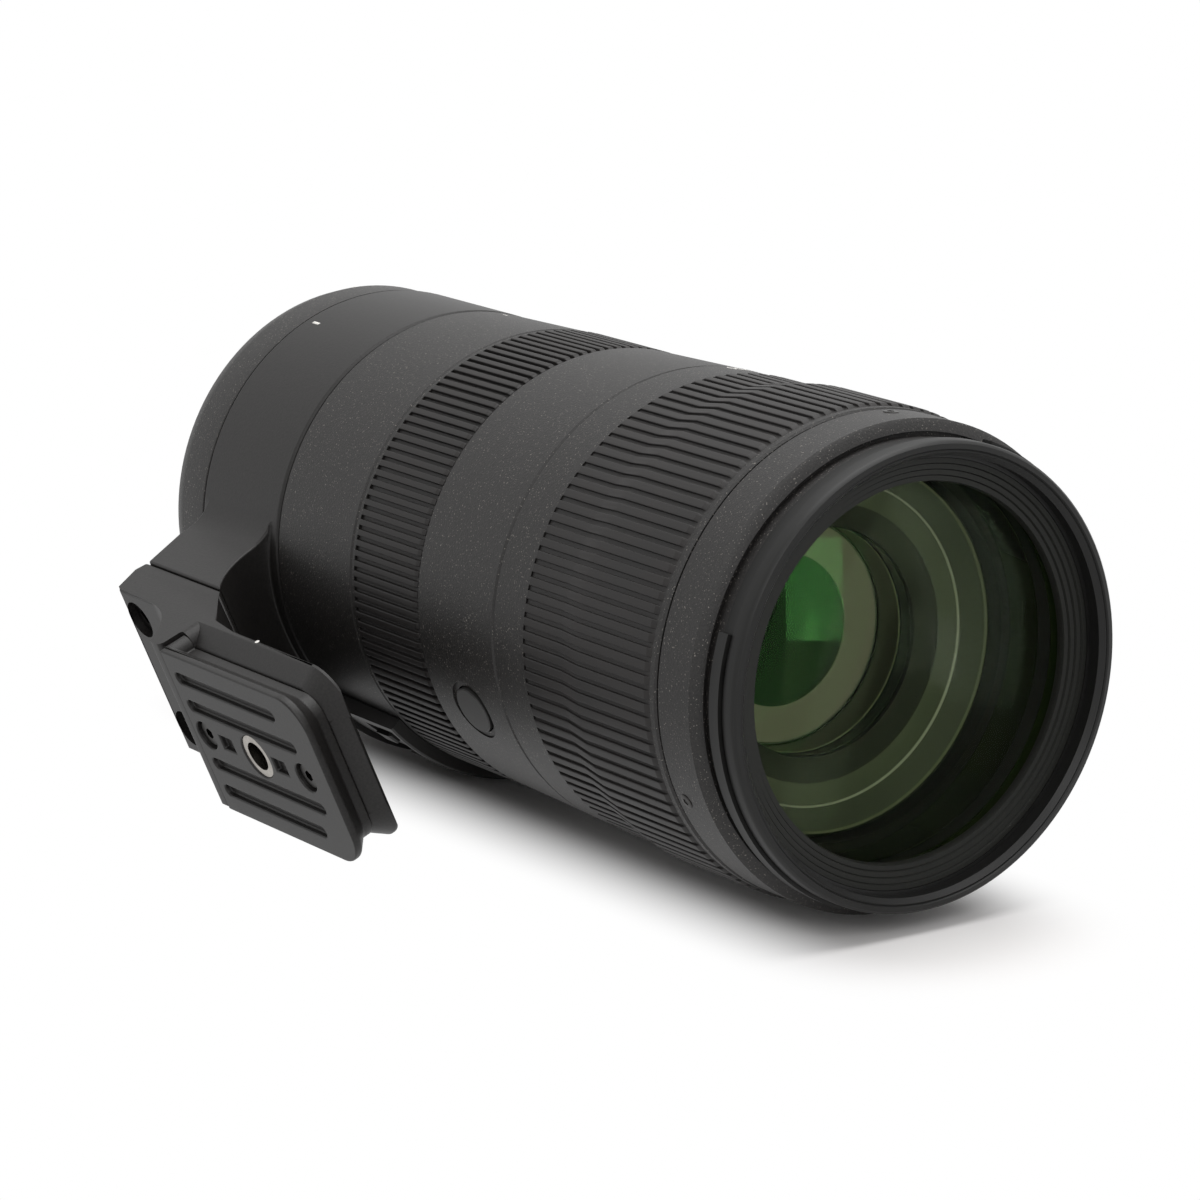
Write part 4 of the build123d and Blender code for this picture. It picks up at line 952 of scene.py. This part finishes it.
# %% [markdown]
# A product photograph of a black lens uses a big overhead softbox, a weaker light from the
# left, and white all round. The world gives the even part of that light.

# %% Light
EVEN_LIGHT, BACKDROP_WHITE = 0.5, 1.0
world = bpy.data.worlds.new("white_studio")
bpy.context.scene.world = world
world.use_nodes = True
tree = world.node_tree
strength = add_node(
    tree,
    "ShaderNodeMapRange",
    inputs={
        "Value": (seen_directly(tree), "Value"),
        "To Min": EVEN_LIGHT,
        "To Max": BACKDROP_WHITE,
    },
)
back = tree.nodes["Background"]
back.inputs["Color"].default_value = linear("#FFFFFF")
tree.links.new(strength.outputs["Result"], back.inputs["Strength"])


def softbox(name, position, target, size, power):
    """Rectangular area light that faces a target."""
    light = bpy.data.lights.new(name, "AREA")
    light.shape = "RECTANGLE"
    light.size, light.size_y = size
    light.energy = power
    lamp = bpy.data.objects.new(name, light)
    lamp.location = position
    lamp.rotation_euler = (Vector(target) - Vector(position)).to_track_quat("-Z", "Y").to_euler()
    bpy.context.scene.collection.objects.link(lamp)
    return lamp


LENS_MIDDLE = (0, -0.1, 0)
OVERHEAD_PLACE, OVERHEAD_SIZE, OVERHEAD_POWER = (0.1, -0.1, 0.9), (0.9, 0.9), 8
CAMERA_SIDE_PLACE, CAMERA_SIDE_SIZE, CAMERA_SIDE_POWER = (-0.55, -0.95, 0.6), (0.4, 0.4), 2.5
softbox("overhead_softbox", OVERHEAD_PLACE, LENS_MIDDLE, OVERHEAD_SIZE, OVERHEAD_POWER)
softbox("camera_softbox", CAMERA_SIDE_PLACE, LENS_MIDDLE, CAMERA_SIDE_SIZE, CAMERA_SIDE_POWER)
print("softboxes", OVERHEAD_POWER, "and", CAMERA_SIDE_POWER, "watts")

# %% [markdown]
# A small bright card lies beside the lens, just outside the picture. Its only visible
# effect is its green reflection in the coated zoom glass, deep behind the front element.
# Its place and the way it faces are in millimetres, its brightness in radiance.

# %% Glint card
GLINT_CENTRE, GLINT_TOWARD = Vector((109.4, -313.6, -33.0)), Vector((-0.588, 0.775, 0.231))
GLINT_SIZE, GLINT_BRIGHTNESS = (14, 24), 7.0
glint_power = GLINT_BRIGHTNESS * math.pi * GLINT_SIZE[0] * GLINT_SIZE[1] * MM * MM
glint_card = softbox(
    "glint_card",
    GLINT_CENTRE * MM,
    (GLINT_CENTRE + GLINT_TOWARD) * MM,
    [side * MM for side in GLINT_SIZE],
    glint_power,
)
glint_card.visible_camera = False
print("glint card", round(glint_power, 4), "watts")

# %% [markdown]
# The camera stands about 0.9 m from the front rim, a little above it and to its left. Its
# long focal length keeps the circles of the barrel almost as wide at the back as in front.

# %% Camera
AZIMUTH, ELEVATION = math.radians(-34.741), math.radians(13.722)
FOCAL_LENGTH, SENSOR_WIDTH, CLIP_START = 147.974, 36, 0.05
RIM_CENTRE = Vector((0, -200.3, 0))
RIM_TO_RIGHT, RIM_BELOW, RIM_AWAY = 58.246, 13.978, 895.295
toward = Vector(
    (
        math.sin(AZIMUTH) * math.cos(ELEVATION),
        -math.cos(AZIMUTH) * math.cos(ELEVATION),
        math.sin(ELEVATION),
    )
)
right = Vector((math.cos(AZIMUTH), math.sin(AZIMUTH), 0))
upright = toward.cross(right)
camera_data = bpy.data.cameras.new("studio_camera")
camera_data.lens = FOCAL_LENGTH
camera_data.sensor_width = SENSOR_WIDTH
camera_data.clip_start = CLIP_START
camera = bpy.data.objects.new("studio_camera", camera_data)
offset = right * RIM_TO_RIGHT - upright * RIM_BELOW - toward * RIM_AWAY
camera.matrix_world = Matrix.Translation((RIM_CENTRE - offset) * MM) @ Matrix(
    (right, upright, toward)
).transposed().to_4x4()
bpy.context.scene.collection.objects.link(camera)
bpy.context.scene.camera = camera
print("camera", [round(v, 4) for v in camera.location])

# %% [markdown]
# The view transform stays at Standard, so a colour renders as it was written.

# %% Finish
bpy.context.scene.view_settings.view_transform = "Standard"
